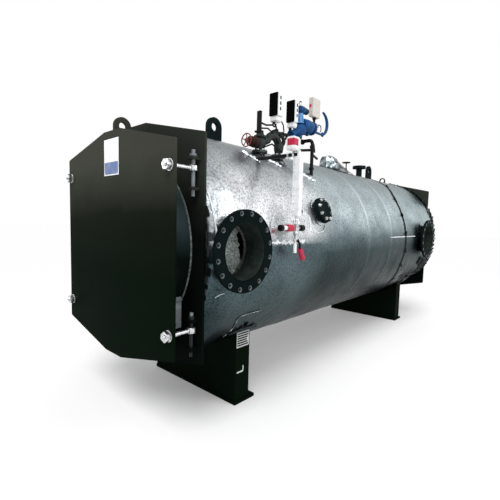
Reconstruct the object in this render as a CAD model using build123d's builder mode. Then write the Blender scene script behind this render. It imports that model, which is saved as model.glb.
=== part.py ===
from build123d import *
import math
import os

os.makedirs("parts", exist_ok=True)

# A horizontal shell boiler on two saddles. Millimetres. The origin is the middle of the front
# saddle's underside, +Y runs along the boiler to its rear, +X is the side with the gas flanges.

# Driving dimensions of the shell and its insulation
axis_height = 1350.0
shell_radius = 825.0
shell_wall = 14.0
insulation_thickness = 100.0
seat = 0.3
front_plate_face = -680.0
rear_plate_face = 4214.0
end_plate_thickness = 18.0
front_tube_sheet_y = 30.0
rear_tube_sheet_y = 3330.0
tube_sheet_thickness = 25.0
lining_thickness = 60.0
lining_clearance = 0.8
lining_front_gap = 30.0

# End plates, eight-sided with shallow roof-like top and bottom edges
end_side_inset = 32.0
end_corner_inset = 57.0
end_apex_over_jacket = 3.0
end_apex_half_width = 110.0
end_corner_radius = 18.0
front_opening_inset = 175.0
rear_opening_radius = 280.0
rear_cover_radius = 340.0
rear_cover_thickness = 16.0

# Jacket segments, from front to rear
jacket_seam_1 = 1620.0
jacket_seam_2 = 2290.0
jacket_seam_3 = 3330.0

# Saddles
front_saddle_y = 0.0
rear_saddle_y = 3719.0
base_half_length = 577.0
base_width = 245.0
base_thickness = 28.0
saddle_half_length = 570.0
saddle_box_width = 170.0
saddle_front_inset = 5.0
saddle_wall = 12.0
anchor_hole_radius = 13.0
anchor_from_end = 70.0
anchor_ledge_inset = 36.0
saddle_gap = 2.0

# Gas flanges, nominal bore 400
neck_radius = 203.2
neck_wall = 8.0
gas_flange_radius = 282.5
gas_flange_thickness = 26.0
gas_bolt_circle = 515.0
gas_bolt_count = 16
gas_bolt_radius = 14.0
neck_set_in = 40.0
inlet_y = -452.0
inlet_stand_off = 40.0
outlet_y = 3590.0
outlet_stand_off = 75.0
nozzle_clearance = 3.0

# Door
door_face = -896.0
door_thickness = 14.0
door_side_inset = 17.0
door_corner_inset = 76.0
door_apex_inset = 83.0
door_apex_half_width = 118.0
door_corner_radius = 15.0
drum_over_opening = 40.0
drum_wall = 10.0
drum_depth = 178.0
gasket_inset = 6.0
gasket_width = 24.0
gasket_round = 6.0
door_lining_recess = 12.0
tie_side_inset = 69.0
tie_corner_inset = 233.0
tie_radius = 15.0
tie_clearance = 1.5
nut_across_flats = 64.0
nut_length = 40.0
washer_radius = 38.0
washer_thickness = 6.0
tie_end_y = -950.0
pin_y = -715.0
pin_radius = 12.5
pin_clearance = 0.5
eye_radius = 32.0
eye_height = 40.0
tab_half_width = 32.0
tab_thickness = 20.0
tab_reach = 34.0
tab_up_offset = 65.0
tab_down_offset = 130.0
slot_clearance = 2.0
pin_over_top = 44.0
pin_under_bottom = 40.0
pin_head_radius = 21.0
pin_head_height = 18.0

# Lifting lugs and eyes
lug_thickness = 30.0
lug_width = 180.0
lug_over_jacket = 240.0
lug_hole_radius = 38.0
lug_hole_drop = 88.0
front_lug_y = 110.0
rear_lug_y = 3600.0
door_lug_thickness = 24.0
door_lug_reach = 136.0
door_lug_over_plate = 110.0
door_lug_hole_radius = 30.0
rear_eye_radius = 52.0
rear_eye_bar = 9.0

# Top nozzles
steam_y = 3240.0
steam_pipe_radius = 44.45
steam_flange_radius = 100.0
steam_flange_thickness = 20.0
steam_bolt_circle = 160.0
steam_bolt_count = 8
steam_bolt_radius = 9.0
steam_bore_radius = 40.0
steam_over_jacket = 193.0
steam_set_in = 10.0
vent_y = 2795.0
vent_wheel_radius = 62.0
vent_wheel_over_jacket = 183.0
vent_wheel_thickness = 12.0
vent_wheel_rim = 14.0
vent_hub_radius = 16.0
vent_foot_thickness = 12.0
vent_body_height = 70.0
vent_body_radius = 26.0
cowl_y = 2290.0
cowl_radius = 128.0
cowl_height = 212.0
cowl_set_in = 12.0
cowl_chamfer_up = 45.0
cowl_chamfer_in = 60.0

# Handhole on the near side, square to the shell
handhole_y = 620.0
handhole_angle = 19.25
handhole_radius = 118.0
handhole_neck_radius = 80.0
handhole_stand_off = 60.0
handhole_flange_thickness = 44.0

# Level gauge standing beside the jacket
gauge_stand_off = 75.0
gauge_y = 75.0
gauge_radius = 36.0
gauge_bottom_over_axis = 250.0
gauge_fitting = 20.0
gauge_under_pipe = 10.0
gauge_neck_radius = 16.0
level_upper_under_top = 106.0
level_lower_over_axis = 160.0
level_pipe_radius = 14.0
head_width = 80.0
head_depth = 96.0
head_height = 112.0
head_forward = 42.0
head_inset = 25.0
head_round = 8.0
head_edge_round = 6.0
cock_radius = 30.0
cock_half_width = 62.0
cock_bottom_over_axis = 55.0
drain_length = 87.0
drain_radius = 13.0

# Boiler trim on the top, near side
trim_inset = 325.0
feed_stub_y = 200.0
second_stub_y = 470.0
stub_radius = 38.0
stub_under_crown = 106.0
casting_radius = 62.0
casting_height = 166.0
stem_over_stub = 60.0
casting_round = 18.0
casting_link_radius = 34.0
wheel_radius = 58.0
wheel_rim = 8.0
wheel_spoke = 12.0
wheel_y = 29.0
header_half = 25.0
header_round = 8.0
header_end_y = 870.0
header_before_stub = 95.0
standpipe_offset = 127.0
standpipe_y = 844.0
standpipe_radius = 20.0
header_arm_radius = 16.0
post_y = 185.0
post_width = 42.0
post_depth = 24.0
post_height = 240.0
switch_width = 94.0
switch_1_front = 370.0
switch_1_depth = 90.0
switch_2_front = 632.0
switch_2_depth = 70.0
switch_over_header = 121.0
switch_height = 202.0
foot_radius = 32.0
foot_height = 54.0
siphon_radius = 9.0
valve_over_header = 105.0
valve_radius = 78.0
valve_from_y = 712.0
valve_to_y = 1010.0
valve_flange_radius = 98.0
valve_flange_thickness = 24.0
valve_inlet_y = 790.0
valve_inlet_radius = 34.0
bonnet_radius = 26.0
bonnet_over_valve = 138.0
bonnet_from_inlet = 20.0
top_casting_radius = 38.0
top_casting_length = 150.0
lever_bar = 18.0
lever_outer = 128.0
lever_y = 1207.0
lever_over_valve = 129.0
coupling_radius = 30.0
coupling_length = 100.0
box_stem_radius = 12.0
coupling_over_valve = 72.0
box_over_coupling = 51.0
box_height = 190.0
box_width = 50.0
box_depth = 148.0
housing_round = 5.0

# Places worked out from the sizes above
jacket_radius = shell_radius + insulation_thickness
jacket_front = front_plate_face + end_plate_thickness
jacket_rear = rear_plate_face - end_plate_thickness
chamber_inner = shell_radius - shell_wall
end_half_width = shell_radius - end_side_inset
end_corner_height = shell_radius - end_corner_inset
end_apex_height = jacket_radius + end_apex_over_jacket
front_opening_radius = shell_radius - front_opening_inset
door_half_width = end_half_width - door_side_inset
door_corner_height = end_corner_height - door_corner_inset
door_apex_height = end_apex_height - door_apex_inset
drum_radius = front_opening_radius + drum_over_opening
gasket_radius = drum_radius - gasket_inset
tie_x = end_half_width - tie_side_inset
tie_height = end_corner_height - tie_corner_inset
shell_top = axis_height + shell_radius
jacket_top = axis_height + jacket_radius
bore_reach = 1.2 * jacket_radius
neck_inner_x = shell_radius - neck_set_in
inlet_face_x = jacket_radius + inlet_stand_off
outlet_face_x = jacket_radius + outlet_stand_off
lug_top = jacket_top + lug_over_jacket
door_lug_top = axis_height + door_apex_height + door_lug_over_plate
steam_top = jacket_top + steam_over_jacket
vent_wheel_z = jacket_top + vent_wheel_over_jacket
handhole_face = jacket_radius + handhole_stand_off
gauge_x = jacket_radius + gauge_stand_off
head_y = gauge_y - head_forward
gauge_bottom = axis_height + gauge_bottom_over_axis
level_upper_z = shell_top - level_upper_under_top
level_lower_z = axis_height + level_lower_over_axis
gauge_top = level_upper_z - level_pipe_radius - gauge_under_pipe
cock_bottom = axis_height + cock_bottom_over_axis
trim_x = shell_radius - trim_inset
standpipe_x = trim_x + standpipe_offset
stub_top = jacket_top - stub_under_crown
header_z = stub_top + casting_height
header_top = header_z + 2 * header_half
switch_bottom = header_top + switch_over_header
valve_z = header_top + valve_over_header
bonnet_top = valve_z + bonnet_over_valve
coupling_z = valve_z + coupling_over_valve
box_bottom = coupling_z + coupling_radius + box_over_coupling


def across(y):
    """Plane across the boiler at y, seen from the front: local x is +X, local y is up."""
    return Plane(origin=(0, y, axis_height), x_dir=(1, 0, 0), z_dir=(0, -1, 0))


def side(x, y, z):
    """Plane in the +X side of the boiler: local x is +Y, local y is up, normal +X."""
    return Plane(origin=(x, y, z), x_dir=(0, 1, 0), z_dir=(1, 0, 0))


def saddle_middle(saddle_y):
    """Where a saddle's box is centred along the boiler: close to its base's front edge."""
    return saddle_y - base_width / 2 + saddle_front_inset + saddle_box_width / 2


def eight_sided(half_width, corner, apex, apex_half_width):
    """Outline of an end plate, symmetric about both middle lines."""
    right = [(half_width, -corner), (half_width, corner), (apex_half_width, apex)]
    left = [(-apex_half_width, apex), (-half_width, corner), (-half_width, -corner)]
    bottom = [(-apex_half_width, -apex), (apex_half_width, -apex)]
    return right + left + bottom


def tube(radius, wall, y_from, y_to):
    """Round tube along the boiler's axis, made in the open builder."""
    with BuildSketch(across(y_to)) as outline:
        Circle(radius)
        Circle(radius - wall, mode=Mode.SUBTRACT)
    extrude(outline.sketch, amount=y_to - y_from)


def side_bore(y, radius, z=axis_height):
    """Round hole through the +X side wall, level, at height z."""
    with BuildSketch(side(0, y, z)) as outline:
        Circle(radius)
    extrude(outline.sketch, amount=bore_reach, mode=Mode.SUBTRACT)


def top_bore(y, radius, x=0.0):
    """Round upright hole through the top of the wall."""
    with BuildSketch(Plane(origin=(x, y, axis_height))) as outline:
        Circle(radius)
    extrude(outline.sketch, amount=bore_reach, mode=Mode.SUBTRACT)


def radial(distance, y, angle):
    """Plane square to the shell at an angle above its axis, at a distance from the axis."""
    out = (math.cos(math.radians(angle)), 0, math.sin(math.radians(angle)))
    origin = (distance * out[0], y, axis_height + distance * out[2])
    return Plane(origin=origin, x_dir=(0, 1, 0), z_dir=out)


def height_on(radius, x):
    """Height of a round surface about the boiler's axis at the given x."""
    return axis_height + math.sqrt(radius**2 - x**2)


def width_on(radius, z):
    """Sideways distance from the axis to a round surface at height z."""
    return math.sqrt(radius**2 - (z - axis_height) ** 2)


# Pressure shell and smoke chambers
with BuildPart() as front_chamber:
    tube(shell_radius, shell_wall, jacket_front, front_tube_sheet_y)
    side_bore(inlet_y, neck_radius + seat)

with BuildPart() as tube_sheets:
    for sheet_y in (front_tube_sheet_y, rear_tube_sheet_y):
        with BuildSketch(across(sheet_y + tube_sheet_thickness)):
            Circle(shell_radius)
        extrude(amount=tube_sheet_thickness)

with BuildPart() as boiler_barrel:
    tube(shell_radius, shell_wall, front_tube_sheet_y + tube_sheet_thickness, rear_tube_sheet_y)
    top_bore(steam_y, steam_pipe_radius + seat)

with BuildPart() as rear_chamber:
    tube(shell_radius, shell_wall, rear_tube_sheet_y + tube_sheet_thickness, jacket_rear)
    side_bore(outlet_y, neck_radius + seat)

with BuildPart() as chamber_lining:
    lining_end = front_tube_sheet_y - seat
    tube(chamber_inner - lining_clearance, lining_thickness, jacket_front + lining_front_gap, lining_end)
    side_bore(inlet_y, neck_radius + nozzle_clearance)

# End plates
with BuildPart() as front_plate:
    with BuildSketch(across(jacket_front)) as front_plate_outline:
        with BuildLine():
            Polyline(
                *eight_sided(end_half_width, end_corner_height, end_apex_height, end_apex_half_width),
                close=True,
            )
        make_face()
        fillet(front_plate_outline.vertices(), end_corner_radius)
        Circle(front_opening_radius, mode=Mode.SUBTRACT)
    extrude(amount=end_plate_thickness)

with BuildPart() as rear_plate:
    with BuildSketch(across(rear_plate_face)) as rear_plate_outline:
        with BuildLine():
            Polyline(
                *eight_sided(end_half_width, end_corner_height, end_apex_height, end_apex_half_width),
                close=True,
            )
        make_face()
        fillet(rear_plate_outline.vertices(), end_corner_radius)
        Circle(rear_opening_radius, mode=Mode.SUBTRACT)
    extrude(amount=end_plate_thickness)

with BuildPart() as rear_cover:
    with BuildSketch(across(rear_plate_face + rear_cover_thickness)):
        Circle(rear_cover_radius)
    extrude(amount=rear_cover_thickness)

# Insulation jacket in four lengths, cut round the nozzles, lugs and saddles
upright_pipes = [
    (trim_x, feed_stub_y, stub_radius),
    (trim_x, second_stub_y, stub_radius),
    (standpipe_x, standpipe_y, standpipe_radius),
]


def jacket_length(y_from, y_to):
    """One length of foil-covered insulation with its cut-outs."""
    tube(jacket_radius, insulation_thickness - seat, y_from, y_to)
    for gas_y in (inlet_y, outlet_y):
        side_bore(gas_y, neck_radius + nozzle_clearance)
    top_bore(steam_y, steam_pipe_radius + nozzle_clearance)
    with BuildSketch(radial(0, handhole_y, handhole_angle)) as outline:
        Circle(handhole_neck_radius + nozzle_clearance)
    extrude(outline.sketch, amount=bore_reach, mode=Mode.SUBTRACT)
    for pipe_x, pipe_y, pipe_radius in upright_pipes:
        top_bore(pipe_y, pipe_radius + nozzle_clearance, pipe_x)
    for pipe_z in (level_upper_z, level_lower_z):
        side_bore(gauge_y, level_pipe_radius + nozzle_clearance, pipe_z)
    for lug_y in (front_lug_y, rear_lug_y):
        with BuildSketch(Plane(origin=(0, lug_y, axis_height))) as outline:
            Rectangle(lug_thickness + 2 * nozzle_clearance, lug_width + 2 * nozzle_clearance)
        extrude(outline.sketch, amount=bore_reach, mode=Mode.SUBTRACT)
    for saddle_y in (front_saddle_y, rear_saddle_y):
        with BuildSketch(Plane(origin=(0, saddle_middle(saddle_y), 0))) as outline:
            Rectangle(
                2 * (saddle_half_length + saddle_gap),
                saddle_box_width + 2 * saddle_gap,
            )
        extrude(outline.sketch, amount=axis_height, mode=Mode.SUBTRACT)


with BuildPart() as jacket_front_length:
    jacket_length(jacket_front, jacket_seam_1)

with BuildPart() as jacket_middle_length:
    jacket_length(jacket_seam_1, jacket_seam_2)

with BuildPart() as jacket_rear_length:
    jacket_length(jacket_seam_2, jacket_seam_3)

with BuildPart() as jacket_tail_length:
    jacket_length(jacket_seam_3, jacket_rear)


# Gas nozzles: a pipe neck with a drilled flange
def gas_nozzle(y, face_x):
    """Neck and flange on the +X side, made in the open builder."""
    with BuildSketch(side(face_x - gas_flange_thickness, y, axis_height)) as outline:
        Circle(gas_flange_radius)
    extrude(outline.sketch, amount=gas_flange_thickness)
    with BuildSketch(side(neck_inner_x, y, axis_height)) as outline:
        Circle(neck_radius)
    extrude(outline.sketch, amount=face_x - neck_inner_x)
    with BuildSketch(side(neck_inner_x, y, axis_height)) as outline:
        Circle(neck_radius - neck_wall)
    extrude(outline.sketch, amount=face_x - neck_inner_x, mode=Mode.SUBTRACT)
    with BuildSketch(side(face_x - gas_flange_thickness, y, axis_height)) as outline:
        with PolarLocations(gas_bolt_circle / 2, gas_bolt_count, 180 / gas_bolt_count):
            Circle(gas_bolt_radius)
    extrude(outline.sketch, amount=gas_flange_thickness, mode=Mode.SUBTRACT)


with BuildPart() as gas_inlet_nozzle:
    gas_nozzle(inlet_y, inlet_face_x)

with BuildPart() as gas_outlet_nozzle:
    gas_nozzle(outlet_y, outlet_face_x)


# Saddles: a welded box under the shell on a drilled base plate
def saddle_box(saddle_y):
    """Open-topped box of plates whose top follows the bare shell."""
    box_y = saddle_middle(saddle_y)
    with BuildSketch(Plane(origin=(0, box_y, base_thickness))) as outline:
        Rectangle(2 * saddle_half_length, saddle_box_width)
        Rectangle(
            2 * (saddle_half_length - saddle_wall),
            saddle_box_width - 2 * saddle_wall,
            mode=Mode.SUBTRACT,
        )
    extrude(outline.sketch, amount=axis_height - base_thickness)
    with BuildSketch(across(box_y + saddle_box_width)) as outline:
        Circle(shell_radius + seat)
    extrude(outline.sketch, amount=2 * saddle_box_width, mode=Mode.SUBTRACT)


def saddle_base(saddle_y):
    """Base plate with an anchor hole near each end of its free ledge."""
    with BuildSketch(Plane(origin=(0, saddle_y, 0))) as outline:
        Rectangle(2 * base_half_length, base_width)
        ledge_y = base_width / 2 - anchor_ledge_inset
        with Locations(
            (base_half_length - anchor_from_end, ledge_y),
            (anchor_from_end - base_half_length, ledge_y),
        ):
            Circle(anchor_hole_radius, mode=Mode.SUBTRACT)
    extrude(outline.sketch, amount=base_thickness)


with BuildPart() as front_saddle:
    saddle_box(front_saddle_y)
    saddle_base(front_saddle_y)

with BuildPart() as rear_saddle:
    saddle_box(rear_saddle_y)
    saddle_base(rear_saddle_y)


# Lifting lugs: round-topped plates along the boiler
def lug(y):
    """Round-topped plate in the middle plane with its hole below the crown."""
    foot_z = shell_top + seat
    crown_z = lug_top - lug_width / 2
    with BuildSketch(side(-lug_thickness / 2, y, 0)) as outline:
        with Locations((0, (foot_z + crown_z) / 2)):
            Rectangle(lug_width, crown_z - foot_z)
        with Locations((0, crown_z)):
            Circle(lug_width / 2)
        with Locations((0, lug_top - lug_hole_drop)):
            Circle(lug_hole_radius, mode=Mode.SUBTRACT)
    extrude(outline.sketch, amount=lug_thickness)


with BuildPart() as lifting_lugs:
    lug(front_lug_y)
    lug(rear_lug_y)

with BuildPart() as rear_eye:
    eye_foot = axis_height + end_apex_height + seat
    eye_middle_y = rear_plate_face - end_plate_thickness / 2
    eye_back = eye_middle_y + rear_eye_bar
    with BuildSketch(Plane(origin=(0, eye_back, 0), x_dir=(1, 0, 0), z_dir=(0, -1, 0))):
        with Locations((0, eye_foot + rear_eye_radius)):
            Circle(rear_eye_radius)
        with Locations((0, eye_foot + rear_eye_radius / 2)):
            Rectangle(2 * rear_eye_radius, rear_eye_radius)
        with Locations((0, eye_foot + rear_eye_radius)):
            Circle(rear_eye_radius - 2 * rear_eye_bar, mode=Mode.SUBTRACT)
    extrude(amount=2 * rear_eye_bar)

# Door: plate, drum, refractory, rope gasket and what is fixed to them
drum_front = door_face + door_thickness
drum_back = drum_front + drum_depth
tie_places = [(sx * tie_x, axis_height + sz * tie_height) for sx in (-1, 1) for sz in (-1, 1)]

with BuildPart() as door_plate:
    with BuildSketch(across(drum_front)) as door_outline:
        with BuildLine():
            Polyline(
                *eight_sided(
                    door_half_width, door_corner_height, door_apex_height, door_apex_half_width
                ),
                close=True,
            )
        make_face()
        fillet(door_outline.vertices(), door_corner_radius)
        with Locations(*[(x, z - axis_height) for x, z in tie_places]):
            Circle(tie_radius + tie_clearance, mode=Mode.SUBTRACT)
    extrude(amount=door_thickness)

with BuildPart() as door_drum:
    tube(drum_radius, drum_wall, drum_front, drum_back)

with BuildPart() as door_refractory:
    with BuildSketch(across(drum_back - door_lining_recess)):
        Circle(drum_radius - drum_wall - seat)
    extrude(amount=drum_depth - door_lining_recess)

with BuildPart() as door_gasket:
    tube(gasket_radius, gasket_width, drum_back, front_plate_face - seat)
    fillet(door_gasket.edges().filter_by(GeomType.CIRCLE), gasket_round)

with BuildPart() as door_lug:
    lug_back = drum_front + door_lug_reach
    lug_foot = axis_height + drum_radius + seat
    with BuildSketch(Plane(origin=(-door_lug_thickness / 2, 0, 0), x_dir=(0, 1, 0), z_dir=(1, 0, 0))):
        crown = door_lug_reach / 2
        with Locations((drum_front + crown, (lug_foot + door_lug_top - crown) / 2)):
            Rectangle(door_lug_reach, door_lug_top - crown - lug_foot)
        with Locations((drum_front + crown, door_lug_top - crown)):
            Circle(crown)
            Circle(door_lug_hole_radius, mode=Mode.SUBTRACT)
    extrude(amount=door_lug_thickness)

# Tie bolts: nut and washer on the door, a rod, and an eye round the pin
with BuildPart() as tie_bolts:
    for x, z in tie_places:
        with BuildSketch(across(pin_y)):
            with Locations((x, z - axis_height)):
                Circle(tie_radius)
        extrude(amount=pin_y - tie_end_y)
        with BuildSketch(Plane(origin=(x, pin_y, z - eye_height / 2))):
            Circle(eye_radius)
        extrude(amount=eye_height)
        with BuildSketch(across(door_face)):
            with Locations((x, z - axis_height)):
                Circle(washer_radius)
        extrude(amount=washer_thickness)
        with BuildSketch(across(door_face - washer_thickness)):
            with Locations((x, z - axis_height)):
                RegularPolygon(nut_across_flats / 2, 6, major_radius=False)
        extrude(amount=nut_length)
        with BuildSketch(Plane(origin=(x, pin_y, z - eye_height))):
            Circle(pin_radius + pin_clearance)
        extrude(amount=2 * eye_height, mode=Mode.SUBTRACT)


# Pins and their tabs: near side fixed in round holes, far side in slots open to the front
def pin_pair(x):
    """Upper and lower vertical pins through the eyes, each with a head on top."""
    for sz in (-1, 1):
        eye_z = axis_height + sz * tie_height
        low = eye_z - tab_down_offset - tab_thickness / 2 - pin_under_bottom
        high = eye_z + tab_up_offset + tab_thickness / 2 + pin_over_top
        with BuildSketch(Plane(origin=(x, pin_y, low))) as outline:
            Circle(pin_radius)
        extrude(outline.sketch, amount=high - low)
        head_z = eye_z + tab_up_offset + tab_thickness / 2 + seat
        with BuildSketch(Plane(origin=(x, pin_y, head_z))) as outline:
            RegularPolygon(pin_head_radius, 6, major_radius=False)
        extrude(outline.sketch, amount=pin_head_height)


def tabs(x, slotted):
    """Four tabs standing on the front plate, two about each eye."""
    clearance = slot_clearance if slotted else pin_clearance
    for sz in (-1, 1):
        for offset in (tab_up_offset, -tab_down_offset):
            tab_z = axis_height + sz * tie_height + offset - tab_thickness / 2
            with BuildSketch(Plane(origin=(x, 0, tab_z))) as outline:
                depth = front_plate_face - pin_y + tab_reach
                with Locations((0, front_plate_face - depth / 2)):
                    Rectangle(2 * tab_half_width, depth)
                with Locations((0, pin_y)):
                    Circle(pin_radius + clearance, mode=Mode.SUBTRACT)
                if slotted:
                    with Locations((0, pin_y - tab_reach)):
                        Rectangle(2 * (pin_radius + slot_clearance), 2 * tab_reach, mode=Mode.SUBTRACT)
            extrude(outline.sketch, amount=tab_thickness)


with BuildPart() as hinge_pins:
    pin_pair(tie_x)

with BuildPart() as clamp_pins:
    pin_pair(-tie_x)

with BuildPart() as pin_tabs:
    tabs(tie_x, False)
    tabs(-tie_x, True)

# Steam nozzle: pipe stub with a drilled flange, on the crown of the shell
with BuildPart() as steam_nozzle:
    steam_foot = shell_top - shell_wall - steam_set_in
    with BuildSketch(Plane(origin=(0, steam_y, steam_foot))):
        Circle(steam_pipe_radius)
    extrude(amount=steam_top - steam_foot)
    with BuildSketch(Plane(origin=(0, steam_y, steam_top - 2 * steam_flange_thickness))):
        Circle(steam_flange_radius)
    extrude(amount=2 * steam_flange_thickness)
    with BuildSketch(Plane(origin=(0, steam_y, steam_top - 2 * steam_flange_thickness))):
        with PolarLocations(steam_bolt_circle / 2, steam_bolt_count, 180 / steam_bolt_count):
            Circle(steam_bolt_radius)
    extrude(amount=2 * steam_flange_thickness, mode=Mode.SUBTRACT)
    with BuildSketch(Plane(origin=(0, steam_y, steam_foot))):
        Circle(steam_bore_radius)
    extrude(amount=steam_top - steam_foot, mode=Mode.SUBTRACT)

# Vent valve with its handwheel
vent_stem_radius = vent_body_radius / 3
with BuildPart() as vent_valve:
    vent_foot = jacket_top + seat
    with BuildSketch(Plane(origin=(0, vent_y, vent_foot))):
        Circle(2 * vent_body_radius)
    extrude(amount=vent_foot_thickness)
    with BuildSketch(Plane(origin=(0, vent_y, vent_foot))):
        Circle(vent_body_radius)
    extrude(amount=vent_body_height)
    with BuildSketch(Plane(origin=(0, vent_y, vent_foot))):
        Circle(vent_stem_radius)
    extrude(amount=vent_wheel_z - vent_foot + vent_wheel_thickness)

with BuildPart() as vent_handwheel:
    with BuildSketch(Plane(origin=(0, vent_y, vent_wheel_z))):
        Circle(vent_wheel_radius)
        Circle(vent_wheel_radius - vent_wheel_rim, mode=Mode.SUBTRACT)
        for angle in (0, 60, 120):
            Rectangle(2 * vent_wheel_radius - vent_wheel_rim, vent_wheel_thickness, rotation=angle)
        Circle(vent_hub_radius)
        Circle(vent_stem_radius + seat, mode=Mode.SUBTRACT)
    extrude(amount=vent_wheel_thickness)

# Foil-covered cowl over a blanked nozzle
with BuildPart() as foil_cowl:
    with BuildSketch(Plane(origin=(0, cowl_y, jacket_top - cowl_set_in))):
        Circle(cowl_radius)
    extrude(amount=cowl_height)
    chamfer(foil_cowl.faces().sort_by(Axis.Z)[-1].edges(), cowl_chamfer_up, cowl_chamfer_in)
    with BuildSketch(across(cowl_y + 2 * cowl_radius)):
        Circle(jacket_radius + seat)
    extrude(amount=4 * cowl_radius, mode=Mode.SUBTRACT)

# Handhole: neck square to the shell with a blank flange
with BuildPart() as handhole:
    with BuildSketch(radial(shell_radius + seat, handhole_y, handhole_angle)):
        Circle(handhole_neck_radius)
    extrude(amount=handhole_face - shell_radius - seat)
    with BuildSketch(radial(handhole_face - handhole_flange_thickness, handhole_y, handhole_angle)):
        Circle(handhole_radius)
    extrude(amount=handhole_flange_thickness)
    with BuildSketch(across(handhole_y + 2 * handhole_radius)):
        Circle(shell_radius + seat)
    extrude(amount=4 * handhole_radius, mode=Mode.SUBTRACT)

# Level gauge with its head, cock, pipes and drain
with BuildPart() as level_gauge:
    with BuildSketch(Plane(origin=(gauge_x, gauge_y, gauge_bottom))):
        Circle(gauge_radius)
    extrude(amount=gauge_top - gauge_bottom)
    with BuildSketch(Plane(origin=(gauge_x, gauge_y, gauge_bottom - gauge_fitting))):
        Circle(gauge_neck_radius)
    extrude(amount=gauge_top - gauge_bottom + 3 * gauge_fitting)

with BuildPart() as gauge_head:
    with BuildSketch(Plane(origin=(gauge_x - head_inset, head_y, gauge_top + 2 * gauge_fitting + seat))):
        RectangleRounded(head_width, head_depth, head_round)
    extrude(amount=head_height)
    fillet(gauge_head.faces().sort_by(Axis.Z)[-1].edges(), head_edge_round)

with BuildPart() as level_pipes:
    for pipe_z, seat_radius in ((level_upper_z, gauge_neck_radius), (level_lower_z, cock_radius)):
        foot_x = width_on(shell_radius + seat, pipe_z - level_pipe_radius)
        with BuildSketch(side(foot_x, gauge_y, pipe_z)):
            Circle(level_pipe_radius)
        extrude(amount=gauge_x - foot_x)
        with BuildSketch(Plane(origin=(gauge_x, gauge_y, pipe_z - 2 * level_pipe_radius))):
            Circle(seat_radius + seat)
        extrude(amount=4 * level_pipe_radius, mode=Mode.SUBTRACT)

with BuildPart() as gauge_cock:
    cock_top = gauge_bottom - gauge_fitting - seat
    with BuildSketch(Plane(origin=(gauge_x, gauge_y, cock_bottom))):
        Circle(cock_radius)
    extrude(amount=cock_top - cock_bottom)
    with BuildSketch(Plane(origin=(gauge_x, gauge_y - cock_half_width, level_lower_z), z_dir=(0, 1, 0))):
        Circle(cock_radius / 2)
    extrude(amount=2 * cock_half_width)
    with BuildSketch(Plane(origin=(gauge_x, gauge_y, cock_bottom - drain_length))):
        Circle(drain_radius)
    extrude(amount=drain_length)

# Feed valve: two stubs on the shell, a casting on each and a link between them
stem_z = stub_top + stem_over_stub
with BuildPart() as feed_valve:
    for stub_y in (feed_stub_y, second_stub_y):
        foot_z = height_on(shell_radius + seat, trim_x + stub_radius)
        with BuildSketch(Plane(origin=(trim_x, stub_y, foot_z))):
            Circle(stub_radius)
        extrude(amount=stub_top - foot_z)
        with BuildSketch(Plane(origin=(trim_x, stub_y, stub_top))):
            Circle(casting_radius)
        extrude(amount=casting_height)
    fillet(feed_valve.edges().filter_by(GeomType.CIRCLE).group_by(Axis.Z)[-1], casting_round)
    with BuildSketch(Plane(origin=(trim_x, feed_stub_y, stem_z), z_dir=(0, 1, 0))):
        Circle(casting_link_radius)
    extrude(amount=second_stub_y - feed_stub_y)
    with BuildSketch(Plane(origin=(trim_x, post_y, stem_z))):
        RectangleRounded(post_width, post_depth, housing_round)
    extrude(amount=post_height + casting_link_radius)
    with BuildSketch(across(second_stub_y + 2 * stub_radius)):
        Circle(shell_radius + seat)
    extrude(amount=second_stub_y - feed_stub_y + 4 * stub_radius, mode=Mode.SUBTRACT)

with BuildPart() as feed_handwheel:
    with BuildSketch(Plane(origin=(trim_x, wheel_y, stem_z), x_dir=(1, 0, 0), z_dir=(0, -1, 0))):
        Circle(wheel_radius)
        Circle(wheel_radius - 2 * wheel_rim, mode=Mode.SUBTRACT)
        Rectangle(2 * wheel_radius - 2 * wheel_rim, wheel_spoke)
        Rectangle(wheel_spoke, 2 * wheel_radius - 2 * wheel_rim)
        Circle(2 * wheel_rim)
    extrude(amount=wheel_rim)
    with BuildSketch(Plane(origin=(trim_x, wheel_y, stem_z), z_dir=(0, 1, 0))):
        Circle(wheel_rim)
    extrude(amount=feed_stub_y - casting_radius - seat - wheel_y)

# Header over the second stub, held at its far end by the standpipe
with BuildPart() as trim_header:
    with BuildSketch(Plane(origin=(trim_x, 0, header_z + seat))):
        header_length = header_end_y - second_stub_y + header_before_stub
        with Locations((0, header_end_y - header_length / 2)):
            RectangleRounded(2 * header_half, header_length, header_round)
    extrude(amount=2 * header_half - seat)
    foot_z = height_on(shell_radius + seat, standpipe_x + standpipe_radius)
    arm_z = header_z + header_half
    with BuildSketch(Plane(origin=(standpipe_x, standpipe_y, foot_z))):
        Circle(standpipe_radius)
    extrude(amount=arm_z + standpipe_radius - foot_z)
    with BuildSketch(side(trim_x, standpipe_y, arm_z)):
        Circle(header_arm_radius)
    extrude(amount=standpipe_x - trim_x)
    with BuildSketch(across(standpipe_y + 2 * standpipe_radius)):
        Circle(shell_radius + seat)
    extrude(amount=4 * standpipe_radius, mode=Mode.SUBTRACT)


def switch(front_y, depth):
    """Upright switch housing with its black front."""
    with BuildSketch(Plane(origin=(trim_x, front_y + depth / 2, switch_bottom))) as outline:
        RectangleRounded(switch_width, depth, housing_round)
    extrude(outline.sketch, amount=switch_height)


with BuildPart() as pressure_switches:
    switch(switch_1_front, switch_1_depth)
    switch(switch_2_front, switch_2_depth)

with BuildPart() as switch_siphons:
    for siphon_y in (switch_1_front + switch_1_depth / 2, switch_2_front + switch_2_depth / 2):
        with BuildSketch(Plane(origin=(trim_x, siphon_y, header_top + seat))):
            Circle(siphon_radius)
        extrude(amount=switch_over_header - foot_height)
        with BuildSketch(Plane(origin=(trim_x, siphon_y, switch_bottom - seat - foot_height))):
            Circle(foot_radius)
        extrude(amount=foot_height)

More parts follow.
